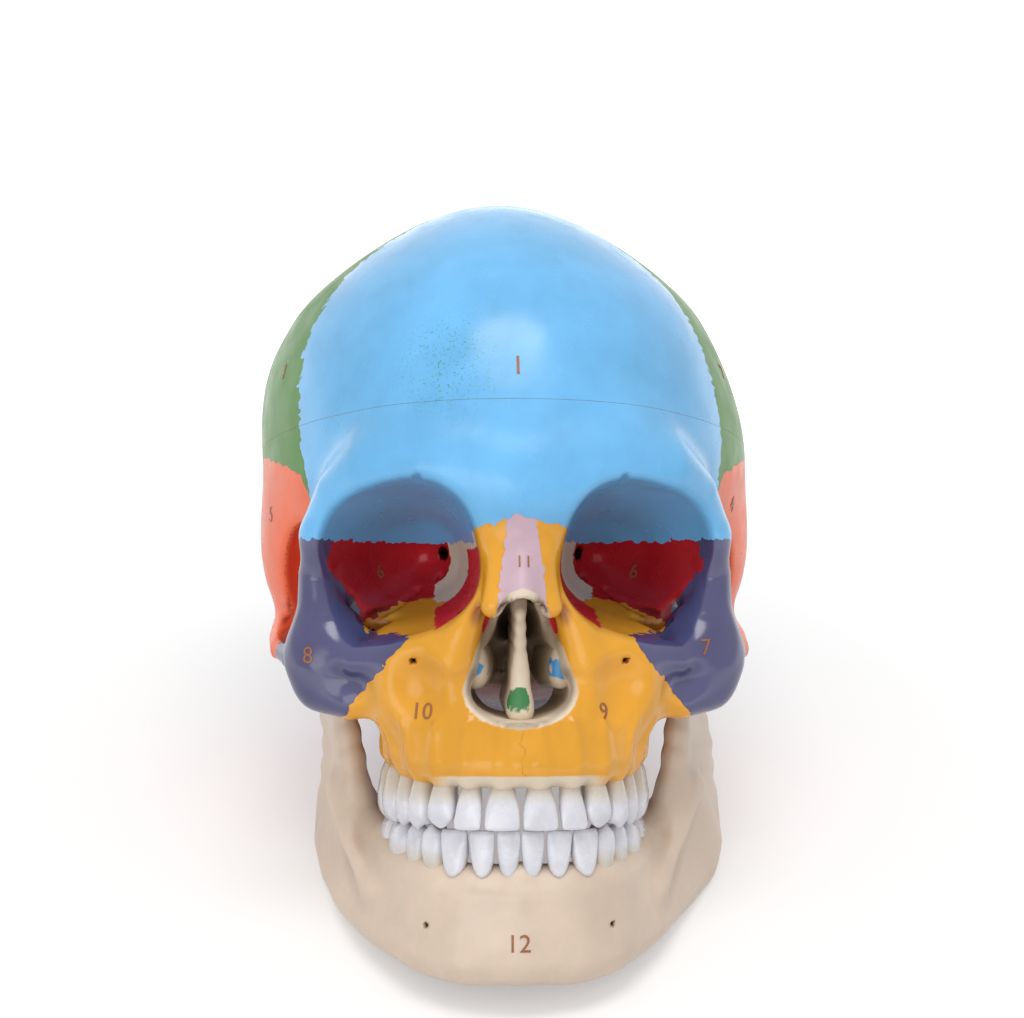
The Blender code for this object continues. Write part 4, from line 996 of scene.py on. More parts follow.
def skin_table(field, low, high, step):
    """The skin of a field that is the same on both sides, as a table of points and triangles, with
    the painted shade of its hollows.
    """
    cells = Cells((0, low[1], low[2]), high, step)
    values = field(cells)
    whole = np.concatenate((values[:0:-1], values))
    points, tris = skin_of(whole, np.array((-cells.axes[0][-1], low[1], low[2])), step)

    def both(spots):
        return field(Spots(on_left(spots.points)))

    points = settled(both, points)
    slope = slope_of(both, points)[1]
    normal = slope / np.maximum(np.linalg.norm(slope, axis=1), 1e-9)[:, None]
    rows = np.zeros((len(points), 9))
    rows[:, PLACE], rows[:, NORMAL] = points, normal
    # Painted shade: the less room a point has outside it, the deeper its hollow and the darker its
    # colour is painted.
    for reach, weight in ((3.0, 0.45), (8.0, 0.55)):
        room = both(Spots(points + normal * reach))
        rows[:, SHADE] += weight * np.clip(1 - room / reach, 0, 1)
    return rows, tris


def inner_share(rows):
    """How surely each point lies where nothing is painted: in the brain space, in the nose, or
    on the strip of bone above the front teeth."""
    spots = Spots(on_left(rows[:, PLACE]))
    space = brain_space(spots, vault(spots))
    eye = joined(spots, [Orbit()], 2.0, 12.0)
    brain = np.clip(1.5 - abs(space), 0, 1) * np.clip(eye - 1.5, 0, 1)
    gum = np.clip((gum_height - rows[:, 2]) / gum_fade, 0, 1)
    gum *= np.clip((gum_reach - abs(rows[:, 0])) / gum_reach_fade, 0, 1)
    nose = np.clip((nose_rim - nose_room(spots)) / nose_fade, 0, 1)
    return np.maximum(np.maximum(brain, gum), nose)


def capped(rows, tris, level, way):
    """A flat, bare face over the open edge that a cut has left at a level."""
    edges = edges_of(tris)
    keys, counts = np.unique(edges[:, 0] * len(rows) + edges[:, 1], return_counts=True)
    lone = keys[counts == 1]
    lone = np.stack((lone // len(rows), lone % len(rows)), 1)
    height = (rows[:, PLACE] - seam_start) @ seam_way
    lone = lone[(abs(height[lone] - level) < 0.02).all(axis=1)]
    used, index = np.unique(lone, return_inverse=True)
    shape = bmesh.new()
    verts = [shape.verts.new(point) for point in rows[used, PLACE].tolist()]
    for a, b in index.reshape(-1, 2).tolist():
        shape.edges.new((verts[a], verts[b]))
    shape.verts.index_update()
    bmesh.ops.triangle_fill(shape, use_beauty=True, edges=shape.edges[:], normal=Vector(way))
    faces = np.array([[vert.index for vert in face.verts] for face in shape.faces])
    shape.free()
    a, b, c = rows[used, PLACE][faces].transpose(1, 0, 2)
    wrong = np.cross(b - a, c - a) @ way < 0
    faces[wrong] = faces[wrong][:, ::-1]
    fresh = rows[used].copy()
    fresh[:, NORMAL], fresh[:, SHADE], fresh[:, BARE] = way, 0.0, 1.0
    return np.vstack((rows, fresh)), np.concatenate((tris, faces + len(rows)))


coarse_noise = Rough((11, 12, 13), 2.5)
fine_noise = Rough((21, 22, 23), 1.15)


def suture_value(name, points):
    """Positive inside a bone, or to the left for the middle line of a pair. The roof's sutures
    are toothed and wander, the face's are plainer."""
    play = suture_play.get(name, plain_play)
    if name == "frontal":
        play = (0.8 + 1.1 * np.clip((points[:, 2] - 26) / 14, 0, 1))[:, None]
    moved = points + (coarse_noise(points) * 0.7 + fine_noise(points) * 0.9) * play
    if name == "middle":
        return moved[:, 0]
    moved = on_left(moved)
    return np.max([bone_depth(blocks, moved) for bone, blocks in bone_blocks if bone == name],
                  axis=0)


def cut_here(name, rows, tris, reach):
    """Cut triangles along a suture, finer near its line."""
    used = np.unique(tris)
    close = np.zeros(len(rows), bool)
    near = abs(suture_value(name, rows[used, PLACE])) < reach
    close[used] = near & (rows[used, BARE] < 0.5)
    rows, tris = refined(rows, tris, close)
    used = np.unique(tris)
    values = np.full(len(rows), -1.0)
    values[used] = suture_value(name, rows[used, PLACE])
    rows, up, down, fresh = parted(rows, tris, values)
    rows[fresh, SEAM] = 1.0
    return rows, up, down


def bones_of(rows, tris, prefix):
    """The triangles of each bone of a casting, by node name."""
    parts = {}
    names = [name for name in dict(bone_blocks) if prefix + name in wanted_bones]
    for name in names:
        up = tris
        if name != names[-1]:
            reach = 2.6 if name in ("frontal", "parietal") else 1.2
            rows, up, tris = cut_here(name, rows, tris, reach)
        if name in middle_bones:
            parts[prefix + name] = up
        else:
            rows, left, right = cut_here("middle", rows, up, 2.6 if prefix else 0.8)
            parts[prefix + name + "_left"], parts[prefix + name + "_right"] = left, right
    return rows, parts


def regrouped(rows, parts, smallest=150):
    """Give small loose patches of a bone to the bone that they touch most."""
    names = list(parts)
    tris = np.concatenate([parts[name] for name in names])
    label = np.concatenate([np.full(len(parts[name]), i) for i, name in enumerate(names)])
    ends = edges_of(tris)
    keys = ends[:, 0] * len(rows) + ends[:, 1]
    order = np.argsort(keys, kind="stable")
    same = keys[order][1:] == keys[order][:-1]
    first, second = order[:-1][same] // 3, order[1:][same] // 3
    group = np.arange(len(tris))
    touch = label[first] != label[second]
    a, b = first[~touch], second[~touch]
    before = None
    while before is None or (group != before).any():
        before = group.copy()
        low = np.minimum(group[a], group[b])
        np.minimum.at(group, a, low)
        np.minimum.at(group, b, low)
        group = np.minimum(group, group[group])
        group = group[group]
    small = np.bincount(group, minlength=len(tris))[group] < smallest
    votes = {}
    for here, there in ((first[touch], second[touch]), (second[touch], first[touch])):
        use = small[here] & ~small[there]
        for patch, other in zip(group[here[use]].tolist(), label[there[use]].tolist()):
            votes.setdefault(patch, []).append(other)
    for patch, others in votes.items():
        label[group == patch] = max(set(others), key=others.count)
    return {name: tris[label == i] for i, name in enumerate(names)}


def shown(name, data):
    """A new object in the scene."""
    piece = bpy.data.objects.new(name, data)
    bpy.context.scene.collection.objects.link(piece)
    return piece


def as_seen(piece):
    """A piece's mesh with its modifiers or letters worked out. The piece itself goes."""
    bpy.context.view_layer.update()
    seen = piece.evaluated_get(bpy.context.evaluated_depsgraph_get())
    mesh = bpy.data.meshes.new_from_object(seen)
    bpy.data.objects.remove(piece)
    return mesh


def mesh_of(name, points, faces, normals=None, values=()):
    """A mesh in the part's frame from points in the skull's, with values for its material."""
    mesh = bpy.data.meshes.new(name)
    spots = placed(points)
    spots[:, 2] = np.maximum(spots[:, 2], 0)
    mesh.from_pydata(spots.tolist(), [], [list(map(int, face)) for face in faces])
    mesh.polygons.foreach_set("use_smooth", [True] * len(mesh.polygons))
    for key, row in values:
        layer = mesh.attributes.new(key, "FLOAT", "POINT")
        layer.data.foreach_set("value", np.asarray(row, np.float32))
    if normals is not None:
        mesh.normals_split_custom_set_from_vertices((normals @ stand_turn.T).tolist())
    return mesh


def put(name, mesh, material, body, slot=None, node=None):
    """Show a mesh as a piece that rides on a body."""
    piece = shown(name, mesh)
    mesh.materials.append(material)
    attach(piece, body)
    if node:
        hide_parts(node)


def show_table(name, rows, tris, body, node, material=None):
    """Show some triangles of a table as a piece, in its slot's material or in another."""
    used, index = np.unique(tris, return_inverse=True)
    part = rows[used]
    if name != "jaw_bone":
        settled_vault(part)
    normal = part[:, NORMAL] / np.maximum(np.linalg.norm(part[:, NORMAL], axis=1), 1e-9)[:, None]
    values = (("shade", part[:, SHADE]), ("bare", part[:, BARE]), ("seam", part[:, SEAM]))
    mesh = mesh_of(name, part[:, PLACE], index.reshape(-1, 3), normal, values)
    put(name, mesh, material or paints[slot_of[node]], body, slot_of[node], node)


class Nodes:
    """A short way to lay out the nodes of a material or a world."""

    def __init__(self, owner, shader="Principled BSDF"):
        owner.use_nodes = True
        self.owner, self.tree = owner, owner.node_tree
        self.shader = self.tree.nodes[shader]

    @cached_property
    def place(self):
        return self.add("TexCoord")["Object"]

    def fill(self, socket, source):
        """Give a socket a value, or link it to another node."""
        if isinstance(source, bpy.types.NodeSocket):
            self.tree.links.new(source, socket)
        else:
            socket.default_value = (*source, 1) if socket.type == "RGBA" else source

    def add(self, kind, sources={}, **values):
        """The outputs of a new node, with its settings and what its inputs are filled with."""
        node = self.tree.nodes.new("ShaderNode" + kind)
        for key, value in values.items():
            setattr(node, key, value)
        for key, source in sources.items():
            self.fill(node.inputs[key], source)
        return node.outputs

    def set(self, **sources):
        for key, source in sources.items():
            self.fill(self.shader.inputs[key.replace("_", " ")], source)

    def value_of(self, key):
        return self.add("Attribute", attribute_name=key)["Fac"]

    def distance(self, middle):
        return self.add("VectorMath", {0: self.place, 1: middle}, operation="DISTANCE")["Value"]

    def noise(self, scale, detail=3.0, roughness=0.5, stretch=None):
        place = self.place
        if stretch:
            place = self.add("Mapping", {"Scale": stretch, "Vector": place})["Vector"]
        return self.add("TexNoise", {"Scale": scale, "Detail": detail, "Roughness": roughness,
                                     "Vector": place})["Fac"]

    def span(self, source, low, high, first=0.0, last=1.0, way="LINEAR"):
        """The source from low to high, mapped to first to last and clamped."""
        return self.add("MapRange", {"Value": source, "From Min": low, "From Max": high,
                                     "To Min": first, "To Max": last},
                        clamp=True, interpolation_type=way)["Result"]

    def mottle(self, scale, detail, first, last):
        """A value that wanders from first to last over the surface."""
        return self.span(self.noise(scale, detail), 0.3, 0.7, first, last)

    def maths(self, operation, *sources):
        return self.add("Math", dict(enumerate(sources)), operation=operation)[0]

    def mix(self, factor, first, second):
        return self.add("Mix", {0: factor, 6: first, 7: second}, data_type="RGBA")[2]

    def bump(self, height, strength, distance, below=None):
        sources = {"Height": height, "Strength": strength, "Distance": distance}
        return self.add("Bump", sources | ({"Normal": below} if below else {}))["Normal"]

    def seen(self):
        """1 for rays from the camera, also by way of a gloss or a clear piece, else 0."""
        path = self.add("LightPath")
        either = self.maths("MAXIMUM", path["Is Camera Ray"], path["Is Glossy Ray"])
        return self.maths("MAXIMUM", either, path["Is Transmission Ray"])


def paint(name, colour, deep, stipple=None, gloss=0.24, index=1.36):
    """Brushed gloss paint on a cast bone, bare ivory where it wasn't painted. Painted shade
    darkens its hollows, and a thin dark line of painted shade runs along the seams.
    """
    nodes = Nodes(bpy.data.materials.new(name))
    strokes = nodes.noise(170, 3, 0.55, stretch=(1.0, 0.35, 0.5))
    dark = tuple(a * 0.88 for a in colour)
    light = tuple(min(1.0, a * 1.06 + 0.006) for a in colour)
    tint = nodes.mix(nodes.span(nodes.noise(32, 4, 0.6), 0.38, 0.64), dark, light)
    tint = nodes.mix(nodes.span(strokes, 0.42, 0.66, 0.0, 0.25), tint, light)
    if stipple:
        spread = nodes.span(nodes.distance(placed(stipple_middle)), 0.006, 0.019, 1.0, 0.0)
        dots = nodes.span(nodes.noise(1500, 1.5), 0.60, 0.66, 0.0, stipple_share)
        tint = nodes.mix(nodes.maths("MULTIPLY", dots, spread), tint, stipple)
    shade = nodes.value_of("shade")
    # Painted shade: hollows take the deep colour, more of it the deeper they are.
    tint = nodes.mix(nodes.span(shade, 0.22, 0.78, 0.0, 0.85, "SMOOTHSTEP"), tint, deep)
    # Painted shade: a thin dark line along the seams between the bones, where a groove would be
    # shaded.
    line = nodes.span(nodes.value_of("seam"), 0.45, 0.95, 0.0, 0.38, "SMOOTHSTEP")
    tint = nodes.mix(line, tint, tuple(a * 0.30 for a in colour))
    # Painted shade: bare ivory turns dark brown in its hollows.
    bone = nodes.mix(nodes.span(shade, 0.10, 0.60), ivory, painted_shade_and_pit_brown)
    bare = nodes.span(nodes.value_of("bare"), 0.25, 0.60)
    rough = nodes.mottle(120, 3, gloss - 0.05, gloss + 0.09)
    waves = nodes.bump(nodes.noise(60, 2), 0.22, 0.0008)
    brushed = nodes.bump(strokes, 0.16, 0.0003, waves)
    nodes.set(Base_Color=nodes.mix(bare, tint, bone), IOR=index,
              Roughness=nodes.maths("MULTIPLY_ADD", bare, 0.25, rough),
              Normal=nodes.bump(nodes.noise(900, 2, 0.6), 0.06, 0.0001, brushed))
    return nodes.owner


def bone_finish(name, colour, deep, gloss=0.45, patches=()):
    """Cast ivory with painted shade darkening its hollows, and small dark pits. A patch is a
    colour, a middle and a radius.
    """
    nodes = Nodes(bpy.data.materials.new(name))
    pits = nodes.noise(620, 2, 0.6)
    cloud = nodes.span(nodes.noise(45, 4, 0.6), 0.35, 0.68)
    tint = nodes.mix(cloud, tuple(a * 0.86 for a in colour), colour)
    # Painted shade: hollows take the deep colour.
    tint = nodes.mix(nodes.span(nodes.value_of("shade"), 0.15, 0.72, 0.0, 0.85), tint, deep)
    tint = nodes.mix(nodes.span(pits, 0.62, 0.78, 0.0, 0.05), tint, deep)
    for hue, middle, radius in patches:
        wobble = nodes.mottle(260, 3, -0.0012, 0.0012)
        edge = nodes.maths("ADD", nodes.distance(placed(middle)), wobble)
        inside = nodes.span(edge, radius / 1000, radius / 1000 + 0.0004, 1.0, 0.0)
        tint = nodes.mix(inside, tint, hue)
    waves = nodes.bump(nodes.noise(130, 3), 0.30, 0.0006)
    nodes.set(Base_Color=tint, Roughness=nodes.mottle(90, 3, gloss - 0.08, gloss + 0.10),
              Subsurface_Weight=0.10, Subsurface_Scale=0.004,
              Normal=nodes.bump(pits, 0.08, 0.00012, waves))
    return nodes.owner


def enamel():
    """Cool white teeth, a little yellower towards the root, with painted shade turning the middle
    of the back teeth's biting faces brown.
    """
    nodes = Nodes(bpy.data.materials.new("tooth enamel"))
    cloud = nodes.span(nodes.noise(150), 0.35, 0.65)
    tint = nodes.mix(cloud, (0.66, 0.66, 0.71), (0.76, 0.76, 0.81))
    tint = nodes.mix(nodes.span(nodes.value_of("root"), 0.80, 1.05), tint, (0.62, 0.55, 0.46))
    # Painted shade: the middle of a back tooth's biting face turns brown.
    pit_shade = nodes.span(nodes.value_of("pit_shade"), 0.0, 1.0, 0.0, 0.55)
    nodes.set(Base_Color=nodes.mix(pit_shade, tint, (0.34, 0.25, 0.17)),
              Roughness=nodes.mottle(300, 2, 0.20, 0.32), Subsurface_Weight=0.12,
              Subsurface_Scale=0.002, Coat_Weight=0.3, Coat_Roughness=0.10,
              Normal=nodes.bump(nodes.noise(420, 2), 0.18, 0.0002))
    return nodes.owner


def bright_steel():
    """Drawn steel wire and turned screws."""
    nodes = Nodes(bpy.data.materials.new("bright steel"))
    cloud = nodes.span(nodes.noise(400), 0.35, 0.65)
    nodes.set(Base_Color=nodes.mix(cloud, (0.48, 0.49, 0.50), (0.64, 0.65, 0.66)),
              Metallic=1.0, Anisotropic=0.3, Roughness=nodes.mottle(900, 3, 0.21, 0.38),
              Normal=nodes.bump(nodes.noise(2600, 2), 0.12, 0.00005))
    return nodes.owner


def print_ink():
    """The brown ink of the small numbers."""
    nodes = Nodes(bpy.data.materials.new("number ink"))
    cloud = nodes.span(nodes.noise(2500, 2), 0.4, 0.6)
    nodes.set(Base_Color=nodes.mix(cloud, (0.26, 0.085, 0.03), (0.34, 0.13, 0.05)),
              Roughness=0.4)
    return nodes.owner


# Each paint: its slot, its colour, its painted shade colour for hollows and what differs from the
# others
paint_rows = (
    ("frontal_paint", (0.150, 0.49, 0.86), (0.0, 0.21, 0.62),
     {"stipple": (0.05, 0.30, 0.16), "gloss": 0.21, "index": 1.48}),
    ("parietal_paint", (0.115, 0.27, 0.075), (0.03, 0.10, 0.03), {"gloss": 0.34, "index": 1.22}),
    ("occipital_paint", (0.34, 0.24, 0.44), (0.07, 0.03, 0.10), {}),
    ("temporal_paint", (0.93, 0.18, 0.08), (0.30, 0.03, 0.01), {"gloss": 0.30, "index": 1.24}),
    ("sphenoid_paint", (0.50, 0.012, 0.020), (0.06, 0.004, 0.006), {}),
    ("zygomatic_paint", (0.066, 0.062, 0.17), (0.015, 0.012, 0.04),
     {"gloss": 0.17, "index": 1.6}),
    ("maxilla_paint", (0.80, 0.36, 0.018), (0.30, 0.08, 0.008), {"gloss": 0.20, "index": 1.46}),
    ("nasal_paint", (0.62, 0.43, 0.50), (0.20, 0.10, 0.16), {}),
    ("lacrimal_paint", (0.68, 0.018, 0.03), (0.25, 0.005, 0.01), {}),
    ("bare_bone", ivory, painted_shade_and_pit_brown, {"gloss": 0.42}),
)
paints = {slot: paint(slot.replace("_", " "), colour, deep, **rest)
          for slot, colour, deep, rest in paint_rows}
# The jaw's second colour is its painted shade and pit colour.
paints["jaw_bone"] = bone_finish("jaw bone", (0.76, 0.61, 0.48), (0.24, 0.12, 0.055), 0.36)
paints["tooth"] = enamel()
paints["steel"] = bright_steel()
slot_of = {row["node"]: row["material_slot"] for row in frame["record"]["subparts"]}
wanted_bones = {name.removesuffix("_left") for name in frame["nodes"]
                if not name.endswith("_right")}


def make_cranium():
    """Both castings of the skull, cut into their bones."""
    rows, tris = skin_table(cranium, (0, -105, -52), (75, 95, 122), shell_step)
    rows[:, BARE] = inner_share(rows)
    height = (rows[:, PLACE] - seam_start) @ seam_way
    rows, cap, rest, _ = parted(rows, tris, height - seam_gap / 2)
    height = (rows[:, PLACE] - seam_start) @ seam_way
    rows, _, base, _ = parted(rows, rest, height + seam_gap / 2)
    for body, prefix, tris, side in (("cap", "cap_", cap, 1), ("cranium", "", base, -1)):
        table, tris = capped(rows, tris, side * seam_gap / 2, -side * seam_way)
        table, parts = bones_of(table, tris, prefix)
        for name, part in regrouped(table, parts).items():
            if len(part):
                show_table(name + "_bone", table, part, body, name)


def make_jaw():
    """The jaw, leaned as in the part."""
    rows, tris = skin_table(jaw_field, (0, -98, -104), (62, 0, 8), jaw_step)
    rows[:, 0] += lean_shift(rows[:, PLACE])
    show_table("jaw_bone", rows, tris, "jaw", "jaw")


def make_teeth():
    for jaw, body in (("upper", "cranium"), ("lower", "jaw")):
        for number, side, points, faces in teeth_of(jaw):
            rings = len(points) // tooth_points
            along = np.repeat(np.arange(rings) / (rings - 1), tooth_points)
            root = np.concatenate((along, (0.0, 1.0))) * 1.6
            # Painted shade for the middle of the biting face of back teeth, strongest at its
            # centre.
            pit_shade = np.zeros(len(points))
            if tooth_kinds[number - 1] in cusp_places_share:
                pit_shade[:tooth_points] = 0.35
                pit_shade[-2] = 1.0
            if jaw == "lower":
                points = points + lean_shift(points)[:, None] * (1, 0, 0)
                if number < 4:
                    root *= 0
            mesh = mesh_of("tooth", points, faces, values=(("root", root), ("pit_shade", pit_shade)))
            node = "tooth_%s_%d_%s" % (jaw, number, side)
            put(node + "_crown", mesh, paints["tooth"], body, "tooth", node)


def nose_piece(name, edges, ribs, low, high, patches):
    """The skin and the material of a thin piece inside the nose."""
    rows, tris = skin_table(lambda cells: joined(cells, [plate_from(edges, ribs)], 2.0),
                            low, high, fine_step)
    return rows, tris, bone_finish(name, ivory, painted_shade_and_pit_brown, patches=patches)


def make_nose():
    rows, tris, finish = nose_piece("septum bone", septum_shares, 16, (0, -95, -32),
                                    (8, -40, 22), septum_patches)
    show_table("septum_plate", rows, tris, "cranium", "septum", finish)
    rows, tris, finish = nose_piece("concha bone", concha_shares, 14, (0, -88, -24),
                                    (18, -44, 2), concha_patches)
    left = (rows[tris, 0] > 0).all(axis=1)
    for side, part in (("left", tris[left]), ("right", tris[~left])):
        node = "concha_" + side
        show_table(node + "_scroll", rows, part, "cranium", node, finish)


def skull_points(node):
    """A CAD node's points in the skull's frame."""
    points = np.array([vert.co for vert in frame["nodes"][node].data.vertices], float)
    return (points - stand_shift) @ stand_turn * 1000


def lathed(start, way, profile, count=32):
    """A turned piece from (distance along the axis, radius) rows."""
    side = np.cross(way, (0, 1.0, 0) if abs(way[1]) < 0.9 else (1.0, 0, 0))
    side /= np.linalg.norm(side)
    turn = np.arange(count)[:, None] * math.tau / count
    ring = np.cos(turn) * side + np.sin(turn) * np.cross(way, side)
    points = [start + way * along + ring * radius for along, radius in profile]
    ends = [start + way * along for along, radius in (profile[0], profile[-1])]
    size = len(profile) * count
    return np.vstack((*points, ends)), ring_faces(len(profile), count, size, size + 1)


def put_steel(name, mesh, body, node):
    """Show a steel piece with its edges sharp."""
    mesh.set_sharp_from_angle(angle=math.radians(35))
    put(name, mesh, paints["steel"], body, "steel", node)


def nodes_named(start):
    return sorted(name for name in frame["nodes"] if name.startswith(start))


def make_pins():
    for node in nodes_named("cap_pin"):
        points = skull_points(node)
        middle = points.mean(axis=0)
        along = points @ seam_way
        low, high = along.min() - middle @ seam_way, along.max() - middle @ seam_way
        tip = pin_radius - pin_chamfer
        profile = ((low, tip), (low + pin_chamfer, pin_radius),
                   (high - 2 * pin_chamfer, pin_radius), (high - pin_chamfer / 2, tip),
                   (high, pin_radius / 4))
        mesh = mesh_of("pin", *lathed(middle, seam_way, profile))
        put_steel(node + "_dowel", mesh, "cranium", node)


def slotted(mesh, middle, way):
    """A screw's mesh with a slot across its head."""
    up = np.array((0, 0.5, 1.0))
    up /= np.linalg.norm(up)
    spans = (way * slot_depth, up * slot_width / 2, np.cross(way, up) * head_radius * 2)
    corners = [middle + a * spans[0] + b * spans[1] + c * spans[2]
               for a in (-1, 1) for b in (-1, 1) for c in (-1, 1)]
    faces = ((0, 1, 3, 2), (4, 6, 7, 5), (0, 4, 5, 1), (2, 3, 7, 6), (0, 2, 6, 4), (1, 5, 7, 3))
    block = mesh_of("slot", corners, faces)
    shape = bmesh.new()
    shape.from_mesh(block)
    bmesh.ops.recalc_face_normals(shape, faces=shape.faces)
    shape.to_mesh(block)
    shape.free()
    cutter = shown("slot", block)
    piece = shown("screw", mesh)
    cut = piece.modifiers.new("slot", "BOOLEAN")
    cut.object, cut.operation, cut.solver = cutter, "DIFFERENCE", "EXACT"
    result = as_seen(piece)
    bpy.data.objects.remove(cutter)
    return result


def make_screws():
    for node in nodes_named("spring_screw"):
        points = skull_points(node)
        side = 1 if points[:, 0].mean() > 0 else -1
        inner, outer = min(abs(points[:, 0])), max(abs(points[:, 0]))
        start = np.array((side * inner, *screw_middle(node)[1:]))
        length = outer - inner
        neck = length - head_height
        profile = ((0, 0.3), (1.6, shank_radius), (neck, shank_radius),
                   (neck, head_radius - 0.25), (neck + 0.2, head_radius),
                   (neck + 0.55, head_radius), (length - 0.25, head_radius * 0.72),
                   (length - 0.05, head_radius * 0.35))
        way = np.array((float(side), 0, 0))
        mesh = mesh_of("screw", *lathed(start, way, profile))
        put_steel(node + "_turned", slotted(mesh, start + way * length, way),
                  "jaw" if "lower" in node else "cranium", node)


def hook_ring(centre, way):
    """The open ring of a spring's end round its screw, seen along X."""
    across = np.cross((1.0, 0, 0), way)
    across /= np.linalg.norm(across)
    angles = np.radians(np.linspace(62, 330, 36))
    ring = [centre + (way * math.cos(a) + across * math.sin(a)) * hook_radius for a in angles]
    return ring + [centre + way * (hook_radius + 2 * wire_radius)]


def spring_line(upper, lower):
    """The middle of one unbroken wire: a hook ring, a coil and a hook ring."""
    way = (lower - upper) / np.linalg.norm(lower - upper)
    start, end = upper + way * hook_reach, lower - way * hook_reach
    side = np.cross(way, (1.0, 0, 0))
    side /= np.linalg.norm(side)
    other = np.cross(way, side)
    per_curl = 24
    count = spring_curls * per_curl
    line = hook_ring(upper, way)
    for step in range(count + 1):
        angle = math.tau * step / per_curl
        size = coil_radius * min(1.0, 2 * (step + 1) / per_curl, 2 * (count - step + 1) / per_curl)
        around = side * math.cos(angle) + other * math.sin(angle)
        line.append(start + (end - start) * step / count + around * size)
    return np.array(line + hook_ring(lower, -way)[::-1])


def swept(line, radius, count=10):
    """A round wire along a line."""
    runs = np.gradient(line, axis=0)
    runs /= np.linalg.norm(runs, axis=1)[:, None]
    side = np.cross(runs[0], (0.3, 0.5, 0.8))
    points = []
    for place, run in zip(line, runs):
        side = side - run * (side @ run)
        side /= np.linalg.norm(side)
        other = np.cross(run, side)
        for angle in np.arange(count) * math.tau / count:
            points.append(place + (side * math.cos(angle) + other * math.sin(angle)) * radius)
    size = len(points)
    return points + [line[0], line[-1]], ring_faces(len(line), count, size, size + 1)


def screw_middle(node):
    points = skull_points(node)
    return (points.min(axis=0) + points.max(axis=0)) / 2


def make_springs():
    for side, name in ((1, "left"), (-1, "right")):
        upper = screw_middle("spring_screw_upper_" + name)
        lower = screw_middle("spring_screw_lower_" + name)
        upper[0] = lower[0] = side * hook_spread
        lower[0] += lean_shift(lower[None])[0]
        mesh = mesh_of("spring", *swept(spring_line(upper, lower), wire_radius))
        mesh.materials.append(paints["steel"])
        spring = shown("spring_%s_wire" % name, mesh)
        start, end = placed([upper, lower])
        tuple(start)
        tuple(end)
        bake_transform(spring)
        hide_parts("spring_" + name)


def turned(axis, degrees):
    return np.array(Matrix.Rotation(math.radians(degrees), 3, axis))


camera_turn = (turned("Y", camera_turn_degrees[0]) @ turned("X", camera_turn_degrees[1])
               @ turned("Z", camera_turn_degrees[2]))
camera_place = placed(camera_turn.T @ np.array((0, -camera_distance, 0)))


def number_mesh(text, height, tree, place, normal):
    """A number's flat letters laid on a surface, in the part's frame."""
    curve = bpy.data.curves.new("number", "FONT")
    curve.body = text
    curve.size = height / 1000 / 0.7
    curve.align_x, curve.align_y = "CENTER", "CENTER"
    curve.extrude = print_depth / 1000
    curve.resolution_u = 5
    mesh = as_seen(shown("number", curve))
    up = Vector(stand_turn @ np.array((0, 0, 1.0)))
    up = (up - normal * up.dot(normal)).normalized()
    right = up.cross(normal)
    away = 0.006
    for vert in mesh.vertices:
        flat = place + right * vert.co.x + up * vert.co.y
        hit = tree.ray_cast(flat + normal * away, -normal, away * 3)[0] or flat
        vert.co = hit + normal * (vert.co.z + print_depth / 1000)
    return mesh


def make_numbers():
    """Plain numbers, printed where the camera sees them in the photograph."""
    ink = print_ink()
    for index, (text, name, pixel, height) in enumerate(numbers):
        piece = bpy.data.objects[name]
        tree = BVHTree.FromPolygons([vert.co for vert in piece.data.vertices],
                                    [face.vertices for face in piece.data.polygons])
        way = ((pixel[0] - centre_x) / focal_pixels, 1, (centre_y - pixel[1]) / focal_pixels)
        way = Vector(stand_turn @ (camera_turn.T @ np.array(way))).normalized()
        place, normal = tree.ray_cast(Vector(camera_place), way)[:2]
        letters = number_mesh(text, height, tree, place, normal)
        put("number_%d" % (index + 1), letters, ink, piece["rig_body"])


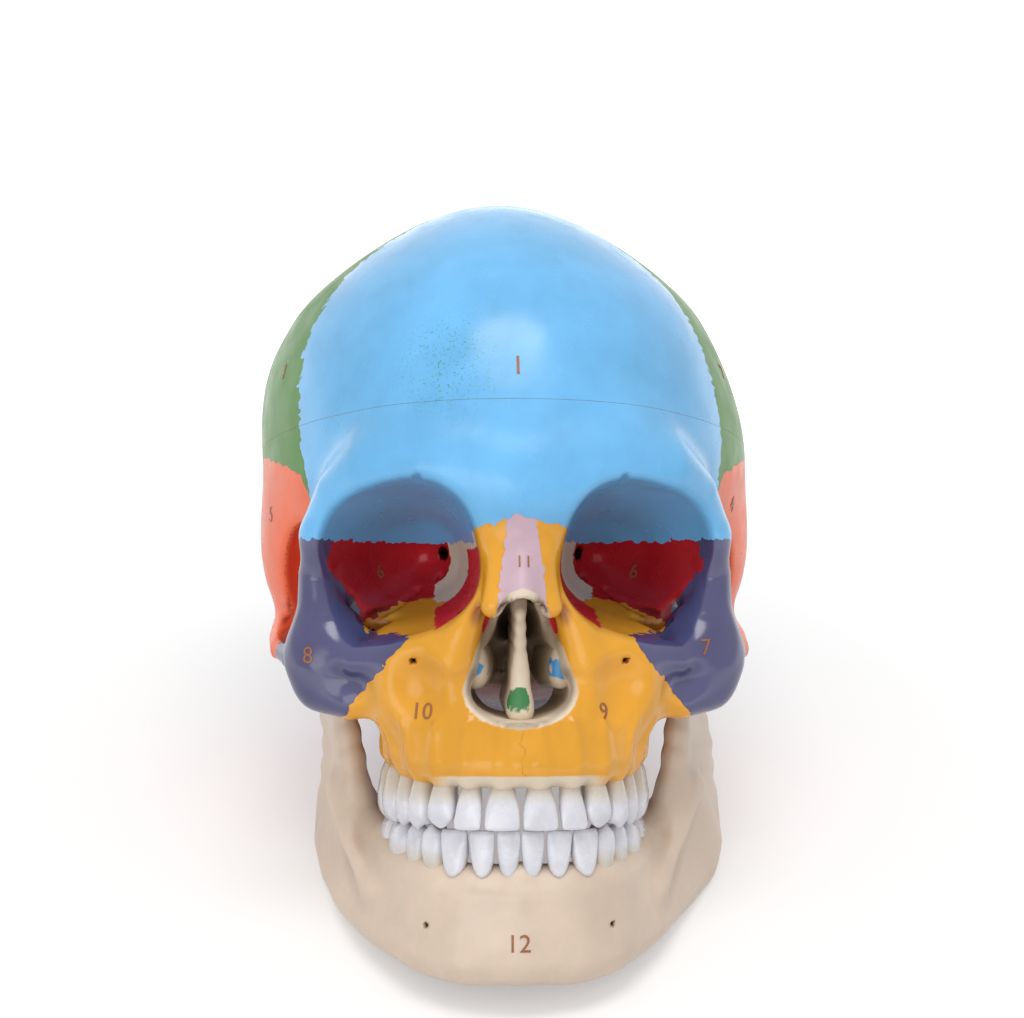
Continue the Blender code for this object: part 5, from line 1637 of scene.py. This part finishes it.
def put_camera():
    data = bpy.data.cameras.new("camera")
    data.sensor_width = sensor_width
    data.lens = sensor_width * focal_pixels / picture_width
    data.shift_x = (picture_width / 2 - centre_x) / picture_width
    data.shift_y = (centre_y - picture_height / 2) / picture_width
    data.clip_start, data.clip_end = 0.05, 20
    camera = shown("camera", data)
    right, ahead, up = (stand_turn @ axis for axis in camera_turn)
    rows = [(right[i], up[i], -ahead[i], camera_place[i]) for i in range(3)]
    camera.matrix_world = Matrix(rows + [(0, 0, 0, 1)])
    bpy.context.scene.camera = camera


def put_light(name, place, aim, size, power):
    """A softbox, so wide and so high, that looks at a place."""
    data = bpy.data.lights.new(name, "AREA")
    data.shape = "ELLIPSE"
    data.size, data.size_y = size
    data.energy = power
    light = shown(name, data)
    light.location = place
    light.rotation_euler = (Vector(aim) - Vector(place)).to_track_quat("-Z", "Y").to_euler()


def put_world(ambient):
    """White where the camera looks, softer where it only lights."""
    world = bpy.data.worlds.new("studio")
    bpy.context.scene.world = world
    nodes = Nodes(world, "Background")
    nodes.set(Color=(1, 1, 1), Strength=nodes.span(nodes.seen(), 0.0, 1.0, ambient, 1.0))


def put_floor(size=12.0):
    """A floor that glows white away from the skull, and keeps its shadow."""
    mesh = bpy.data.meshes.new("floor")
    corners = [(x * size / 2, y * size / 2, 0) for x, y in ((-1, -1), (1, -1), (1, 1), (-1, 1))]
    mesh.from_pydata(corners, [], [(0, 1, 2, 3)])
    nodes = Nodes(bpy.data.materials.new("floor"))
    glow = nodes.span(nodes.distance((0, 0, 0)), 0.14, 0.42, 0.34, 1.0, "SMOOTHSTEP")
    nodes.set(Base_Color=nodes.mix(nodes.noise(3, 2), (0.70, 0.70, 0.70), (0.73, 0.73, 0.73)),
              Roughness=0.6, Emission_Color=(1, 1, 1),
              Emission_Strength=nodes.maths("MULTIPLY", glow, nodes.seen()))
    mesh.materials.append(nodes.owner)
    floor = shown("floor", mesh)
    floor.location.z = -0.0003


make_cranium()
make_jaw()
make_teeth()
make_nose()
make_pins()
make_screws()
make_springs()
make_numbers()
put_camera()
bpy.context.scene.view_settings.view_transform = "Standard"
put_world(0.62)
put_floor()
put_light("key", (0.03, -0.22, 1.30), (0, -0.02, 0.10), (0.85, 0.48), 5.2)
put_light("fill", (-0.5, -1.3, 0.5), (0, -0.03, 0.08), (1.2, 0.9), 5)
